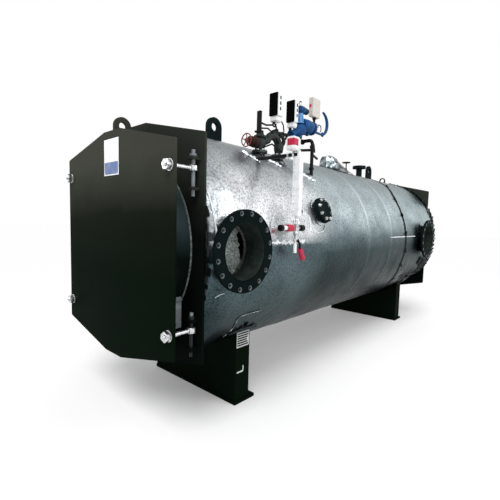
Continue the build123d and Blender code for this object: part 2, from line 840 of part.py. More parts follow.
# Safety valve: inlet neck on the header, lying body, bonnet, top casting and lever
with BuildPart() as safety_valve:
    with BuildSketch(Plane(origin=(trim_x, valve_inlet_y, header_top + seat))):
        Circle(valve_inlet_radius)
    extrude(amount=valve_z - header_top)
    with BuildSketch(Plane(origin=(trim_x, valve_from_y, valve_z), z_dir=(0, 1, 0))):
        Circle(valve_radius)
    extrude(amount=valve_to_y - valve_from_y)
    with BuildSketch(Plane(origin=(trim_x, valve_from_y, valve_z), z_dir=(0, 1, 0))):
        Circle(valve_flange_radius)
    extrude(amount=valve_flange_thickness)
    with BuildSketch(Plane(origin=(trim_x, valve_inlet_y + bonnet_from_inlet, valve_z))):
        Circle(bonnet_radius)
    extrude(amount=bonnet_top + top_casting_radius - valve_z)
    top_y = valve_inlet_y + bonnet_from_inlet - bonnet_radius
    top_z = bonnet_top + top_casting_radius
    with BuildSketch(Plane(origin=(trim_x, top_y, top_z), z_dir=(0, 1, 0))):
        Circle(top_casting_radius)
    extrude(amount=top_casting_length)

with BuildPart() as safety_lever:
    lever_z = valve_z + lever_over_valve
    with BuildSketch(side(trim_x - lever_bar / 2, lever_y, lever_z)):
        Circle(lever_outer)
        Circle(lever_outer - lever_bar, mode=Mode.SUBTRACT)
        with Locations((-lever_outer / 2, 0)):
            Rectangle(lever_outer, 3 * lever_outer, mode=Mode.SUBTRACT)
    extrude(amount=lever_bar)
    with BuildSketch(side(trim_x - lever_bar / 2, 0, lever_z)):
        with Locations(((valve_to_y + seat + lever_y) / 2, lever_bar / 2 - lever_outer)):
            Rectangle(lever_y - valve_to_y - seat, lever_bar)
    extrude(amount=lever_bar)

with BuildPart() as brass_coupling:
    with BuildSketch(Plane(origin=(trim_x, valve_to_y + seat, coupling_z), z_dir=(0, 1, 0))):
        Circle(coupling_radius)
    extrude(amount=coupling_length)

with BuildPart() as junction_box:
    box_y = valve_to_y + coupling_length / 2
    with BuildSketch(Plane(origin=(trim_x, box_y, box_bottom))):
        RectangleRounded(box_width, box_depth, housing_round)
    extrude(amount=box_height)
    with BuildSketch(Plane(origin=(trim_x, box_y, coupling_z + coupling_radius + seat))):
        Circle(box_stem_radius)
    extrude(amount=box_bottom - coupling_z - coupling_radius)

pieces = {
    "front_chamber": front_chamber,
    "boiler_barrel": boiler_barrel,
    "rear_chamber": rear_chamber,
    "tube_sheets": tube_sheets,
    "chamber_lining": chamber_lining,
    "front_plate": front_plate,
    "rear_plate": rear_plate,
    "rear_cover": rear_cover,
    "jacket_front_length": jacket_front_length,
    "jacket_middle_length": jacket_middle_length,
    "jacket_rear_length": jacket_rear_length,
    "jacket_tail_length": jacket_tail_length,
    "gas_inlet_nozzle": gas_inlet_nozzle,
    "gas_outlet_nozzle": gas_outlet_nozzle,
    "front_saddle": front_saddle,
    "rear_saddle": rear_saddle,
    "lifting_lugs": lifting_lugs,
    "rear_eye": rear_eye,
    "door_plate": door_plate,
    "door_drum": door_drum,
    "door_refractory": door_refractory,
    "door_gasket": door_gasket,
    "door_lug": door_lug,
    "tie_bolts": tie_bolts,
    "hinge_pins": hinge_pins,
    "clamp_pins": clamp_pins,
    "pin_tabs": pin_tabs,
    "steam_nozzle": steam_nozzle,
    "vent_valve": vent_valve,
    "vent_handwheel": vent_handwheel,
    "foil_cowl": foil_cowl,
    "handhole": handhole,
    "level_gauge": level_gauge,
    "gauge_head": gauge_head,
    "level_pipes": level_pipes,
    "gauge_cock": gauge_cock,
    "feed_valve": feed_valve,
    "feed_handwheel": feed_handwheel,
    "trim_header": trim_header,
    "pressure_switches": pressure_switches,
    "switch_siphons": switch_siphons,
    "safety_valve": safety_valve,
    "safety_lever": safety_lever,
    "brass_coupling": brass_coupling,
    "junction_box": junction_box,
}
for name, piece in pieces.items():
    piece.part.label = name
    export_step(piece.part, f"parts/{name}.step")
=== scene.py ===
import math

import bmesh
import bpy
from bpy.props import FloatProperty, FloatVectorProperty, IntProperty, PointerProperty
from mathutils import Matrix, Vector, noise


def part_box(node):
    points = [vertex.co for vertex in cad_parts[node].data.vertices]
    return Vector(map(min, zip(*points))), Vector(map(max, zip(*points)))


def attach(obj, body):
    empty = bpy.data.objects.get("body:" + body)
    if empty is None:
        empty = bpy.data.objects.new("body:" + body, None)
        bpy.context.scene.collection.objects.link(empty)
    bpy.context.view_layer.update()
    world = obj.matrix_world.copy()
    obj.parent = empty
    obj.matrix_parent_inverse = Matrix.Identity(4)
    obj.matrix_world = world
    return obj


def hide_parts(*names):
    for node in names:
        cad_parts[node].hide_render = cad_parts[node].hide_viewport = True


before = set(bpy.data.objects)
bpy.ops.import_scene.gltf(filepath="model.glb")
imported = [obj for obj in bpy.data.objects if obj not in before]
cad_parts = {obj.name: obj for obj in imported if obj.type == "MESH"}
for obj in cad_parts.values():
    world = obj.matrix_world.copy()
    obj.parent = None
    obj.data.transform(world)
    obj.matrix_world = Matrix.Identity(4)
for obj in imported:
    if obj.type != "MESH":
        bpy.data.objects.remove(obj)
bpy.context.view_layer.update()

bl_info = {
    "name": "Shell boiler dressing",
    "version": (1, 0, 0),
    "blender": (4, 5, 0),
    "location": "View3D > Sidebar > Boiler",
    "description": "Dresses the packed shell boiler: foil, enamel, flanges, valves and gauges",
    "category": "Object",
}

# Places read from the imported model. Pieces are drawn in millimetres and scaled once at the end.
MM = 0.001
UP, BACK, SIDE, FRONT = (Vector(way) for way in ((0, 0, 1), (0, 1, 0), (1, 0, 0), (0, -1, 0)))


def corner(node_name, end):
    """A CAD node's lowest (0) or highest (1) corner, in millimetres."""
    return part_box(node_name)[end] / MM


def corners(node_name):
    """A CAD node's lowest and highest corners, in millimetres."""
    return corner(node_name, 0), corner(node_name, 1)


def midway(node_name, letter):
    """A CAD node's middle along x, y or z, in millimetres."""
    return (getattr(corner(node_name, 0), letter) + getattr(corner(node_name, 1), letter)) / 2


FOIL_RADIUS = corner("jacket_middle_length", 1).x
AXIS_Z = corner("jacket_middle_length", 1).z - FOIL_RADIUS
JACKET_FRONT = corner("jacket_front_length", 0).y
JACKET_REAR = corner("jacket_tail_length", 1).y
REAR_SADDLE_FRONT = corner("rear_saddle", 0).y
SEAM_1 = corner("jacket_middle_length", 0).y
SEAM_2 = corner("jacket_middle_length", 1).y
SEAM_3 = corner("jacket_tail_length", 0).y
SHELL_RADIUS = corner("boiler_barrel", 1).x
JACKET_TOP = AXIS_Z + FOIL_RADIUS
DOOR_FACE = corner("door_plate", 0).y
INLET_Y = midway("gas_inlet_nozzle", "y")
OUTLET_Y = midway("gas_outlet_nozzle", "y")
GAS_FACES = ((INLET_Y, corner("gas_inlet_nozzle", 1).x), (OUTLET_Y, corner("gas_outlet_nozzle", 1).x))
NECK_RADIUS = 203.2
GAS_FLANGE_THICKNESS = 26.0
STEAM_Y = midway("steam_nozzle", "y")
STEAM_TOP = corner("steam_nozzle", 1).z
HANDHOLE_Y = midway("handhole", "y")
HANDHOLE_ANGLE = math.radians(19.25)
HANDHOLE_FACE = 985.0
HANDHOLE_RADIUS = 118.0
TRIM_X = midway("feed_valve", "x")
HEADER_TOP = corner("trim_header", 1).z
VALVE_Z = HEADER_TOP + 105.0


# Colours and meshes

def linear(hex_text):
    """An sRGB hex colour as the linear colour that a shader takes."""
    shares = [int(hex_text[i:i + 2], 16) / 255 for i in (1, 3, 5)]
    return [s / 12.92 if s <= 0.04045 else ((s + 0.055) / 1.055) ** 2.4 for s in shares] + [1.0]


def add_node(tree, kind, settings=None, links=None):
    """Adds a shader node, sets its properties or sockets, and links its sockets to other nodes' outputs."""
    made = tree.nodes.new(kind)
    for key, value in (settings or {}).items():
        if isinstance(key, int) or key in made.inputs:
            made.inputs[key].default_value = value
        else:
            setattr(made, key, value)
    for key, output in (links or {}).items():
        tree.links.new(output, made.inputs[key])
    return made


def new_finish(name, colour, metallic, roughness, **sockets):
    """A material with its Principled shader set: returns the material, its tree, its shader and place."""
    finish = bpy.data.materials.new(name)
    finish.use_nodes = True
    tree = finish.node_tree
    shader = tree.nodes["Principled BSDF"]
    shader.inputs["Base Color"].default_value = linear(colour)
    shader.inputs["Metallic"].default_value = metallic
    shader.inputs["Roughness"].default_value = roughness
    for socket, value in sockets.items():
        shader.inputs[socket.replace("_", " ")].default_value = value
    place = add_node(tree, "ShaderNodeTexCoord").outputs["Object"]
    return finish, tree, shader, place


def grain(tree, place, size_mm, detail=2.0, stretch=(1, 1, 1)):
    """Noise whose grain is about size_mm on the object."""
    scaled = add_node(tree, "ShaderNodeMapping", {"Scale": stretch}, {"Vector": place})
    settings = {"Scale": 1000 / size_mm, "Detail": detail}
    return add_node(tree, "ShaderNodeTexNoise", settings, {"Vector": scaled.outputs[0]}).outputs["Fac"]


def graded(tree, value, low, high, stops):
    """Colours laid over a value from low to high: stops are (share, hex)."""
    ranged = add_node(tree, "ShaderNodeMapRange", {"From Min": low, "From Max": high}, {"Value": value})
    ramp = add_node(tree, "ShaderNodeValToRGB", links={"Fac": ranged.outputs[0]})
    elements = ramp.color_ramp.elements
    elements[0].position = stops[0][0]
    elements[1].position = stops[-1][0]
    for share, colour in stops[1:-1]:
        elements.new(share)
    for element, (share, colour) in zip(elements, stops):
        element.color = linear(colour)
    return ramp.outputs["Color"]


def colour_by(tree, shader, colour):
    """The shader's colour follows a node's output."""
    tree.links.new(colour, shader.inputs["Base Color"])


def vary(tree, shader, value, low, high):
    """Roughness that follows a value."""
    settings = {"From Min": 0.3, "From Max": 0.7, "To Min": low, "To Max": high}
    ranged = add_node(tree, "ShaderNodeMapRange", settings, {"Value": value})
    tree.links.new(ranged.outputs[0], shader.inputs["Roughness"])


def relief(tree, shader, value, depth_mm, strength=1.0, under=None):
    """Bump of a real depth on the shader, over another bump where one is given."""
    links = {"Height": value}
    if under is not None:
        links["Normal"] = under
    bump = add_node(tree, "ShaderNodeBump", {"Distance": depth_mm * MM, "Strength": strength}, links)
    tree.links.new(bump.outputs[0], shader.inputs["Normal"])
    return bump.outputs[0]


def multiply(tree, first, second, share=1.0):
    """One colour multiplied by another."""
    mixed = add_node(tree, "ShaderNodeMix", {"data_type": "RGBA", "blend_type": "MULTIPLY", 0: share})
    tree.links.new(first, mixed.inputs[6])
    tree.links.new(second, mixed.inputs[7])
    return mixed.outputs[2]


def around(count, shift=0.0):
    """Angles evenly round a circle, moved on by a share of their spacing."""
    return [2 * math.pi * (k + shift) / count for k in range(count)]


def wander(*spot):
    """Smooth noise at a spot, from -1 to 1."""
    return noise.noise(Vector(spot))


def on_axis(y):
    """The point of the boiler's axis at a place along it."""
    return Vector((0, y, AXIS_Z))


def directions(axis):
    """Unit directions along an axis and twice across it."""
    along = Vector(axis).normalized()
    first = SIDE if abs(along.z) > 0.99 else along.orthogonal().normalized()
    return along, first, along.cross(first)


def round_point(centre, first, second, turn, radius):
    """The point of a circle at an angle from its first direction towards its second."""
    return centre + (first * math.cos(turn) + second * math.sin(turn)) * radius


class Form:
    """A mesh in the making, in millimetres, with a finish number on each face."""

    def __init__(self):
        self.bm = bmesh.new()

    def face(self, vertices, finish=0):
        """One face, left out where its corners fall together or it is there already."""
        if len(set(vertices)) < 3:
            return
        try:
            made = self.bm.faces.new(vertices)
        except ValueError:
            return
        made.material_index = finish

    def grid(self, rows, finish=0, closed=False):
        """Quads between rows of points. A row of one point closes to a tip; closed joins row ends."""
        made = [[self.bm.verts.new(p) for p in row] for row in rows]
        for low, high in zip(made, made[1:]):
            count = max(len(low), len(high))
            for i in range(count if closed else count - 1):
                j = (i + 1) % count
                ring = [low[i % len(low)], low[j % len(low)], high[j % len(high)], high[i % len(high)]]
                unique = [v for k, v in enumerate(ring) if v not in ring[:k]]
                self.face(unique, finish)
        return made

    def turned(self, profile, centre, axis=UP, sides=40, finish=0, start=0.0):
        """A turned shape: profile is (radius, distance along the axis) from its centre."""
        along, first, second = directions(axis)
        rows = []
        for radius, distance in profile:
            base = Vector(centre) + along * distance
            if radius < 0.01:
                rows.append([base])
                continue
            rows.append([round_point(base, first, second, start + turn, radius) for turn in around(sides)])
        self.grid(rows, finish, closed=True)

    def hexagon(self, centre, axis, across, height, finish=0, start=0.0):
        """A hexagonal nut or head with its crown chamfered."""
        radius = across / math.sqrt(3)
        rows = [(0, 0), (radius * 0.94, 0), (radius, height * 0.08), (radius, height * 0.9)]
        rows += [(radius * 0.9, height), (0, height)]
        self.turned(rows, centre, axis, 6, finish, start)

    def stud(self, centre, axis, across, height, rod, reach, finish=0, start=0.3):
        """A nut on a washer with the end of its threaded rod standing out."""
        washer, wide = 3, across * 0.62
        self.turned([(0, 0), (wide, 0), (wide, washer), (0, washer)], centre, axis, 20, finish)
        base = Vector(centre) + Vector(axis).normalized() * washer
        self.hexagon(base, axis, across, height, finish, start)
        profile = [(rod * 0.86, height - 1)]
        pitch = max(2.5, rod / 4)
        turns = int((reach - washer) / pitch)
        for i in range(turns):
            profile += [(rod, height + (i + 0.35) * pitch), (rod * 0.86, height + (i + 0.85) * pitch)]
        profile += [(rod * 0.8, height + reach), (0, height + reach)]
        self.turned(profile, base, axis, 14, finish)

    def block(self, low, high, rounding=2.0, finish=0, segments=2):
        """A box with rounded edges between two corners."""
        low, high = Vector(low), Vector(high)
        place = Matrix.Translation((low + high) / 2) @ Matrix.Diagonal((*(high - low), 1))
        made = bmesh.ops.create_cube(self.bm, size=1, matrix=place)
        for vertex in made["verts"]:
            for face in vertex.link_faces:
                face.material_index = finish
        # each edge once
        edges = list(dict.fromkeys(edge for vertex in made["verts"] for edge in vertex.link_edges))
        bmesh.ops.bevel(self.bm, geom=edges, offset=rounding, segments=segments, affect="EDGES", material=-1)

    def pipe(self, points, radius, sides=14, finish=0, closed=False):
        """A round bar along points, with flat ends."""
        points = [Vector(p) for p in points]
        rows = []
        side = None
        count = len(points)
        for i, point in enumerate(points):
            before = points[(i - 1) % count] if closed else points[max(i - 1, 0)]
            after = points[(i + 1) % count] if closed else points[min(i + 1, count - 1)]
            along = (after - before).normalized()
            side = along.orthogonal() if side is None else side - along * side.dot(along)
            side.normalize()
            up = along.cross(side)
            size = radius[i] if isinstance(radius, (list, tuple)) else radius
            rows.append([round_point(point, side, up, turn, size) for turn in around(sides)])
        if closed:
            rows.append(rows[0])
        made = self.grid(rows, finish, closed=True)
        if not closed:
            self.face(list(reversed(made[0])), finish)
            self.face(made[-1], finish)

    def ring(self, centre, axis, radius, bar, sides=56):
        """A round bar bent to a ring about an axis."""
        _, first, second = directions(axis)
        line = [round_point(Vector(centre), first, second, turn, radius) for turn in around(sides)]
        self.pipe(line, bar, 10, closed=True)

    def piece(self, name, finishes, body, slot, replaces=(), smooth=38):
        """The finished object with its finishes by name, riding on its body."""
        bmesh.ops.remove_doubles(self.bm, verts=self.bm.verts, dist=0.01)
        bmesh.ops.recalc_face_normals(self.bm, faces=self.bm.faces)
        bmesh.ops.scale(self.bm, vec=(MM, MM, MM), verts=self.bm.verts)
        mesh = bpy.data.meshes.new(name)
        self.bm.to_mesh(mesh)
        self.bm.free()
        mesh.polygons.foreach_set("use_smooth", [True] * len(mesh.polygons))
        mesh.set_sharp_from_angle(angle=math.radians(smooth))
        made = bpy.data.objects.new(name, mesh)
        bpy.context.scene.collection.objects.link(made)
        for finish_name in finishes:
            mesh.materials.append(finish(finish_name))
        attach(made, body)
        if replaces:
            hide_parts(*replaces)
        return made


def domed(radius, height, crown, shoulder):
    """Profile of a screw head or cap with a slanted shoulder."""
    return [(0, height), (crown, height), (radius, shoulder), (radius, 0)]


def sleeve(inner, outer, length):
    """Profile of a collar round a pipe, with its edges broken."""
    return [(inner, 0), (outer, 2), (outer, length - 2), (inner, length)]


def arc(centre, first, second, radius, start, end, count=10):
    """Points of an arc in the plane of two directions, angles in degrees."""
    made = []
    for i in range(count + 1):
        turn = math.radians(start + (end - start) * i / count)
        made.append(round_point(Vector(centre), first, second, turn, radius))
    return made


# Finishes

def height_of(tree, place):
    """Height above the floor, in metres."""
    return add_node(tree, "ShaderNodeSeparateXYZ", links={"Vector": place}).outputs["Z"]


def facets(tree, place, size_mm):
    """Flat-sided cells of about size_mm, as creased sheet breaks into."""
    settings = {"feature": "SMOOTH_F1", "Scale": 1000 / size_mm, "Smoothness": 0.25}
    return add_node(tree, "ShaderNodeTexVoronoi", settings, {"Vector": place}).outputs["Distance"]


# Between these, in metres above the floor, the painted reflection on the foil changes its tone
PAINTED_REFLECTION_SPAN = (0.45, 2.35)
# Most of a noise's values lie between these
NOISE_SPAN = (0.3, 0.7)
# Painted reflection on the foil by height: at the front with its sharp side seam, and further back; then
# painted light along the boiler
FRONT_PAINTED_REFLECTION = ((0.0, "#2c3536"), (0.25, "#4a5759"), (0.37, "#5f6f72"), (0.499, "#64757a"), (0.510, "#b4babd"),
              (0.55, "#ffffff"), (0.72, "#ffffff"), (0.81, "#d8dadc"), (0.89, "#a3a6a9"), (0.985, "#777b7e"))
REAR_PAINTED_REFLECTION = ((0.0, "#0e1617"), (0.24, "#121c1d"), (0.34, "#1d292a"), (0.45, "#425052"), (0.52, "#7f8d90"),
             (0.58, "#c6d0d2"), (0.66, "#f0f8f9"), (0.80, "#d8e0e2"), (0.90, "#a2a8aa"), (0.985, "#727679"))
PAINTED_LIGHT_ALONG = ((0.0, "#c8cccf"), (0.028, "#d2d6d8"), (0.055, "#ffffff"), (0.26, "#ffffff"), (0.36, "#f4f8fa"),
              (0.85, "#eaf2f2"), (1.0, "#e0e8e8"))
FOIL_EDGE_TINT = linear("#dde1e1")


def painted_reflection_colour(tree, place, broad, lift=1.0):
    """Painted reflection on the foil: dark below the side seam, bright above it, duller on top and to the
    rear.
    """
    spot = add_node(tree, "ShaderNodeSeparateXYZ", links={"Vector": place})
    # the painted reflection changes a little unevenly at the side seam
    reflection_level = add_node(tree, "ShaderNodeMath", {"operation": "MULTIPLY_ADD", 1: 0.06},
                    {0: broad, 2: spot.outputs["Z"]}).outputs[0]
    front = graded(tree, reflection_level, *PAINTED_REFLECTION_SPAN, FRONT_PAINTED_REFLECTION)
    rear = graded(tree, reflection_level, *PAINTED_REFLECTION_SPAN, REAR_PAINTED_REFLECTION)
    back = add_node(tree, "ShaderNodeMapRange", {"From Min": 0.38, "From Max": 0.75},
                    {"Value": spot.outputs["Y"]})
    upright = add_node(tree, "ShaderNodeMix", {"data_type": "RGBA"},
                       {0: back.outputs[0], 6: front, 7: rear}).outputs[2]
    # painted light along the boiler, laid over the painted reflection
    worn_and_lit = multiply(tree, upright, graded(tree, spot.outputs["Y"], -0.7, 4.3, PAINTED_LIGHT_ALONG))
    return multiply(tree, worn_and_lit, graded(tree, broad, *NOISE_SPAN, ((0.0, "#d8dadc"), (1.0, "#ffffff"))), lift)


def crinkled_foil(name, roughness, cell_mm, depth):
    """Aluminium foil laminate, crinkled by hand over wool: broken bright facets, with a painted reflection,
    dark low down and bright above.
    """
    finish, tree, shader, place = new_finish(name, "#c2c5c8", 1.0, roughness, Specular_Tint=FOIL_EDGE_TINT)
    fine = grain(tree, place, 15, 3.0)
    broad = grain(tree, place, 240, 2.0)
    speckle = graded(tree, fine, 0.36, 0.62, ((0.0, "#b0b4b7"), (0.5, "#e6e8ea"), (1.0, "#ffffff")))
    colour = painted_reflection_colour(tree, place, broad)
    colour_by(tree, shader, multiply(tree, colour, speckle, 0.9))
    vary(tree, shader, broad, roughness - 0.06, roughness + 0.10)
    under = relief(tree, shader, facets(tree, place, cell_mm), depth, 0.5)
    relief(tree, shader, fine, 2.0, 0.8, under)
    return finish


def foil_tape():
    """Aluminium foil tape, rubbed down by hand: a little smoother than the foil, with the same painted
    reflection.
    """
    finish, tree, shader, place = new_finish("Foil tape", "#d4d6d8", 1.0, 0.24, Specular_Tint=FOIL_EDGE_TINT)
    stretch = grain(tree, place, 30, 2.0, (1, 0.4, 1))
    colour_by(tree, shader, painted_reflection_colour(tree, place, stretch, 0.4))
    vary(tree, shader, stretch, 0.20, 0.36)
    relief(tree, shader, stretch, 1.5, 0.6)
    return finish


def bare_foil(name, dark, middle, bright, fold_mm=22):
    """Freshly torn and folded foil: clean and sharply creased."""
    finish, tree, shader, place = new_finish(name, middle, 1.0, 0.26)
    fine = grain(tree, place, fold_mm, 3.0)
    stops = ((0.0, dark), (0.45, middle), (1.0, bright))
    colour_by(tree, shader, graded(tree, fine, 0.32, 0.66, stops))
    under = relief(tree, shader, facets(tree, place, 1.5 * fold_mm), 4.0, 0.7)
    relief(tree, shader, fine, 2.0, 0.8, under)
    return finish


def gloss_enamel(name, colour, dull, top, roughness=0.34, specular=0.04, rise=0.0):
    """Alkyd enamel brushed over steel plate: dark and even, with a painted sheen in its colour that changes
    with height, mostly paler towards the top.
    """
    finish, tree, shader, place = new_finish(name, colour, 0.0, roughness, Specular_IOR_Level=specular)
    broad = grain(tree, place, 420, 3.0)
    orange_peel = grain(tree, place, 24, 2.0)
    height = height_of(tree, place)
    lifted = add_node(tree, "ShaderNodeMath", {"operation": "MULTIPLY_ADD", 1: 0.25},
                      {0: broad, 2: height}).outputs[0]
    # painted sheen: the colour is graded by height, paler higher up; on the drum it is a painted highlight
    # band
    stops = ((0.0, colour), (0.45 + rise, colour), (0.64 + rise, dull), (0.81 + rise, top), (0.97, top))
    colour_by(tree, shader, graded(tree, lifted, 0.1, 2.42, stops))
    vary(tree, shader, broad, roughness - 0.05, roughness + 0.12)
    relief(tree, shader, orange_peel, 0.5, 0.35)
    return finish


def boiler_plate():
    """Hot-rolled plate with its mill scale: dull blue-grey with rust along the grain."""
    finish, tree, shader, place = new_finish("Boiler plate", "#3a3b3e", 0.6, 0.55)
    scale = grain(tree, place, 60, 4.0)
    stops = ((0.0, "#2c2e32"), (0.55, "#3f4043"), (1.0, "#57443a"))
    colour_by(tree, shader, graded(tree, scale, 0.30, 0.75, stops))
    relief(tree, shader, scale, 0.8, 0.5)
    return finish


def fibre_blanket():
    """Needled ceramic fibre blanket: matt, grey-white, with a woolly torn surface."""
    finish, tree, shader, place = new_finish("Fibre blanket", "#8d948f", 0.0, 0.95, Specular_IOR_Level=0.1)
    wool = grain(tree, place, 18, 5.0)
    stops = ((0.0, "#3f4644"), (0.5, "#7c8480"), (1.0, "#a9afa9"))
    colour_by(tree, shader, graded(tree, wool, 0.28, 0.72, stops))
    relief(tree, shader, wool, 4.0, 0.9)
    return finish


def cast_refractory():
    """Refractory concrete, cast and trowelled: pale, matt, with coarse grit."""
    finish, tree, shader, place = new_finish("Cast refractory", "#a39b8c", 0.0, 0.92, Specular_IOR_Level=0.2)
    grit = grain(tree, place, 14, 4.0)
    stain = grain(tree, place, 300, 3.0)
    stops = ((0.0, "#5d564b"), (0.5, "#938b7c"), (1.0, "#b4ac9c"))
    colour = graded(tree, stain, *NOISE_SPAN, stops)
    speckle = graded(tree, grit, *NOISE_SPAN, ((0.0, "#b9b9b9"), (1.0, "#ffffff")))
    colour_by(tree, shader, multiply(tree, colour, speckle, 0.7))
    relief(tree, shader, grit, 2.0, 0.8)
    return finish


def zinc_plate():
    """Bright zinc plating on steel fasteners: silvery, with a faint streaked passivation."""
    finish, tree, shader, place = new_finish("Zinc plate", "#d9dbdb", 1.0, 0.30)
    streak = grain(tree, place, 16, 3.0)
    stops = ((0.0, "#a6aaaa"), (1.0, "#eceeee"))
    colour_by(tree, shader, graded(tree, streak, *NOISE_SPAN, stops))
    vary(tree, shader, streak, 0.22, 0.42)
    relief(tree, shader, streak, 0.25, 0.5)
    return finish


def paint(name, colour, worn_and_lit, roughness, grain_mm=14, depth=0.5, specular=0.35):
    """Sprayed paint over a casting or pipe: a little pebbled, paler where it is rubbed."""
    finish, tree, shader, place = new_finish(name, colour, 0.0, roughness, Specular_IOR_Level=specular)
    patchy = grain(tree, place, 70, 3.0)
    pebble = grain(tree, place, grain_mm, 3.0)
    stops = ((0.0, colour), (0.55, colour), (1.0, worn_and_lit))
    colour_by(tree, shader, graded(tree, patchy, 0.35, 0.72, stops))
    vary(tree, shader, patchy, roughness - 0.06, roughness + 0.12)
    relief(tree, shader, pebble, depth, 0.5)
    return finish


def turned_brass():
    """Brass turned from bar: warm yellow with fine rings, drawn coarse enough to show."""
    finish, tree, shader, place = new_finish("Turned brass", "#c39b5e", 1.0, 0.28)
    rings = grain(tree, place, 8, 1.0, (0.2, 6, 0.2))
    stops = ((0.0, "#9a7744"), (1.0, "#dcb877"))
    colour_by(tree, shader, graded(tree, rings, *NOISE_SPAN, stops))
    relief(tree, shader, rings, 0.3, 0.6)
    return finish


def moulding(name, colour, roughness, specular=0.35):
    """Moulded ABS or polyester housing: even colour with a fine spark-eroded grain."""
    finish, tree, shader, place = new_finish(name, colour, 0.0, roughness, Specular_IOR_Level=specular)
    spark = grain(tree, place, 6, 2.0)
    speckle = graded(tree, spark, *NOISE_SPAN, ((0.0, "#e2e2e2"), (1.0, "#ffffff")))
    flat = graded(tree, spark, 0.0, 1.0, ((0.0, colour), (1.0, colour)))
    colour_by(tree, shader, multiply(tree, flat, speckle))
    relief(tree, shader, spark, 0.3, 0.4)
    return finish


def nozzle_enamel():
    """The enamel of the gas flanges; inside the necks it is made paler, as painted light in the shaded
    bores.
    """
    finish, tree, shader, place = new_finish("Nozzle enamel", "#0c1414", 0.0, 0.42, Specular_IOR_Level=0.006)
    broad = grain(tree, place, 420, 3.0)
    enamel = graded(tree, broad, *NOISE_SPAN, ((0.0, "#0b1212"), (1.0, "#0e1717")))
    # painted light: the bores' walls are paler than the enamel outside
    painted_bore_light = graded(tree, grain(tree, place, 60, 4.0), *NOISE_SPAN, ((0.0, "#1e2522"), (1.0, "#2f3733")))
    spot = add_node(tree, "ShaderNodeSeparateXYZ", links={"Vector": place})
    level = add_node(tree, "ShaderNodeMath", {"operation": "SUBTRACT", 1: AXIS_Z * MM},
                     {0: spot.outputs["Z"]}).outputs[0]
    height = add_node(tree, "ShaderNodeMath", {"operation": "MULTIPLY"}, {0: level, 1: level}).outputs[0]
    # square of the distance from the nearer neck's own axis
    nearest = None
    for middle in (INLET_Y, OUTLET_Y):
        along = add_node(tree, "ShaderNodeMath", {"operation": "SUBTRACT", 1: middle * MM},
                         {0: spot.outputs["Y"]}).outputs[0]
        reach = add_node(tree, "ShaderNodeMath", {"operation": "MULTIPLY_ADD"},
                         {0: along, 1: along, 2: height}).outputs[0]
        nearest = reach if nearest is None else add_node(
            tree, "ShaderNodeMath", {"operation": "MINIMUM"}, {0: nearest, 1: reach}).outputs[0]
    wall = 6
    bore = (NECK_RADIUS - wall) * MM
    inside = add_node(tree, "ShaderNodeMath", {"operation": "LESS_THAN", 1: bore ** 2}, {0: nearest})
    mixed = add_node(tree, "ShaderNodeMix", {"data_type": "RGBA"},
                     {0: inside.outputs[0], 6: enamel, 7: painted_bore_light})
    colour_by(tree, shader, mixed.outputs[2])
    relief(tree, shader, grain(tree, place, 24, 2.0), 0.5, 0.35)
    return finish


def pin_steel():
    """Zinc-plated pins: dull grey, darker below the heads of the lower ones."""
    finish, tree, shader, place = new_finish("Pin steel", "#7c8285", 0.0, 0.5, Specular_IOR_Level=0.3)
    low, high = corners("clamp_pins")
    span = high.z - low.z
    head = 24
    top = 2.5
    lower_head = (low.z + span - 2 * TIE_Z - head) * MM / top
    stops = ((0.0, "#111517"), (lower_head, "#111517"), (lower_head + 0.001, "#7c8285"), (1.0, "#7c8285"))
    colour_by(tree, shader, graded(tree, height_of(tree, place), 0.0, top, stops))
    relief(tree, shader, grain(tree, place, 20, 2.0), 0.3, 0.3)
    return finish


def woven_band():
    """Woven polypropylene band: black, with a coarse weave and frayed pale threads."""
    finish, tree, shader, place = new_finish("Woven band", "#0b0c0e", 0.0, 0.7, Specular_IOR_Level=0.1)
    weave_mm = 12
    settings = {"wave_type": "BANDS", "bands_direction": "DIAGONAL", "Scale": 1000 / weave_mm / 6.28,
                "Distortion": 1.0}
    weave = add_node(tree, "ShaderNodeTexWave", settings, {"Vector": place}).outputs["Fac"]
    stops = ((0.0, "#060708"), (0.8, "#0c0d0f"), (1.0, "#1c1e20"))
    colour_by(tree, shader, graded(tree, weave, 0.0, 1.0, stops))
    relief(tree, shader, weave, 0.8, 0.7)
    return finish


FINISHES = {}


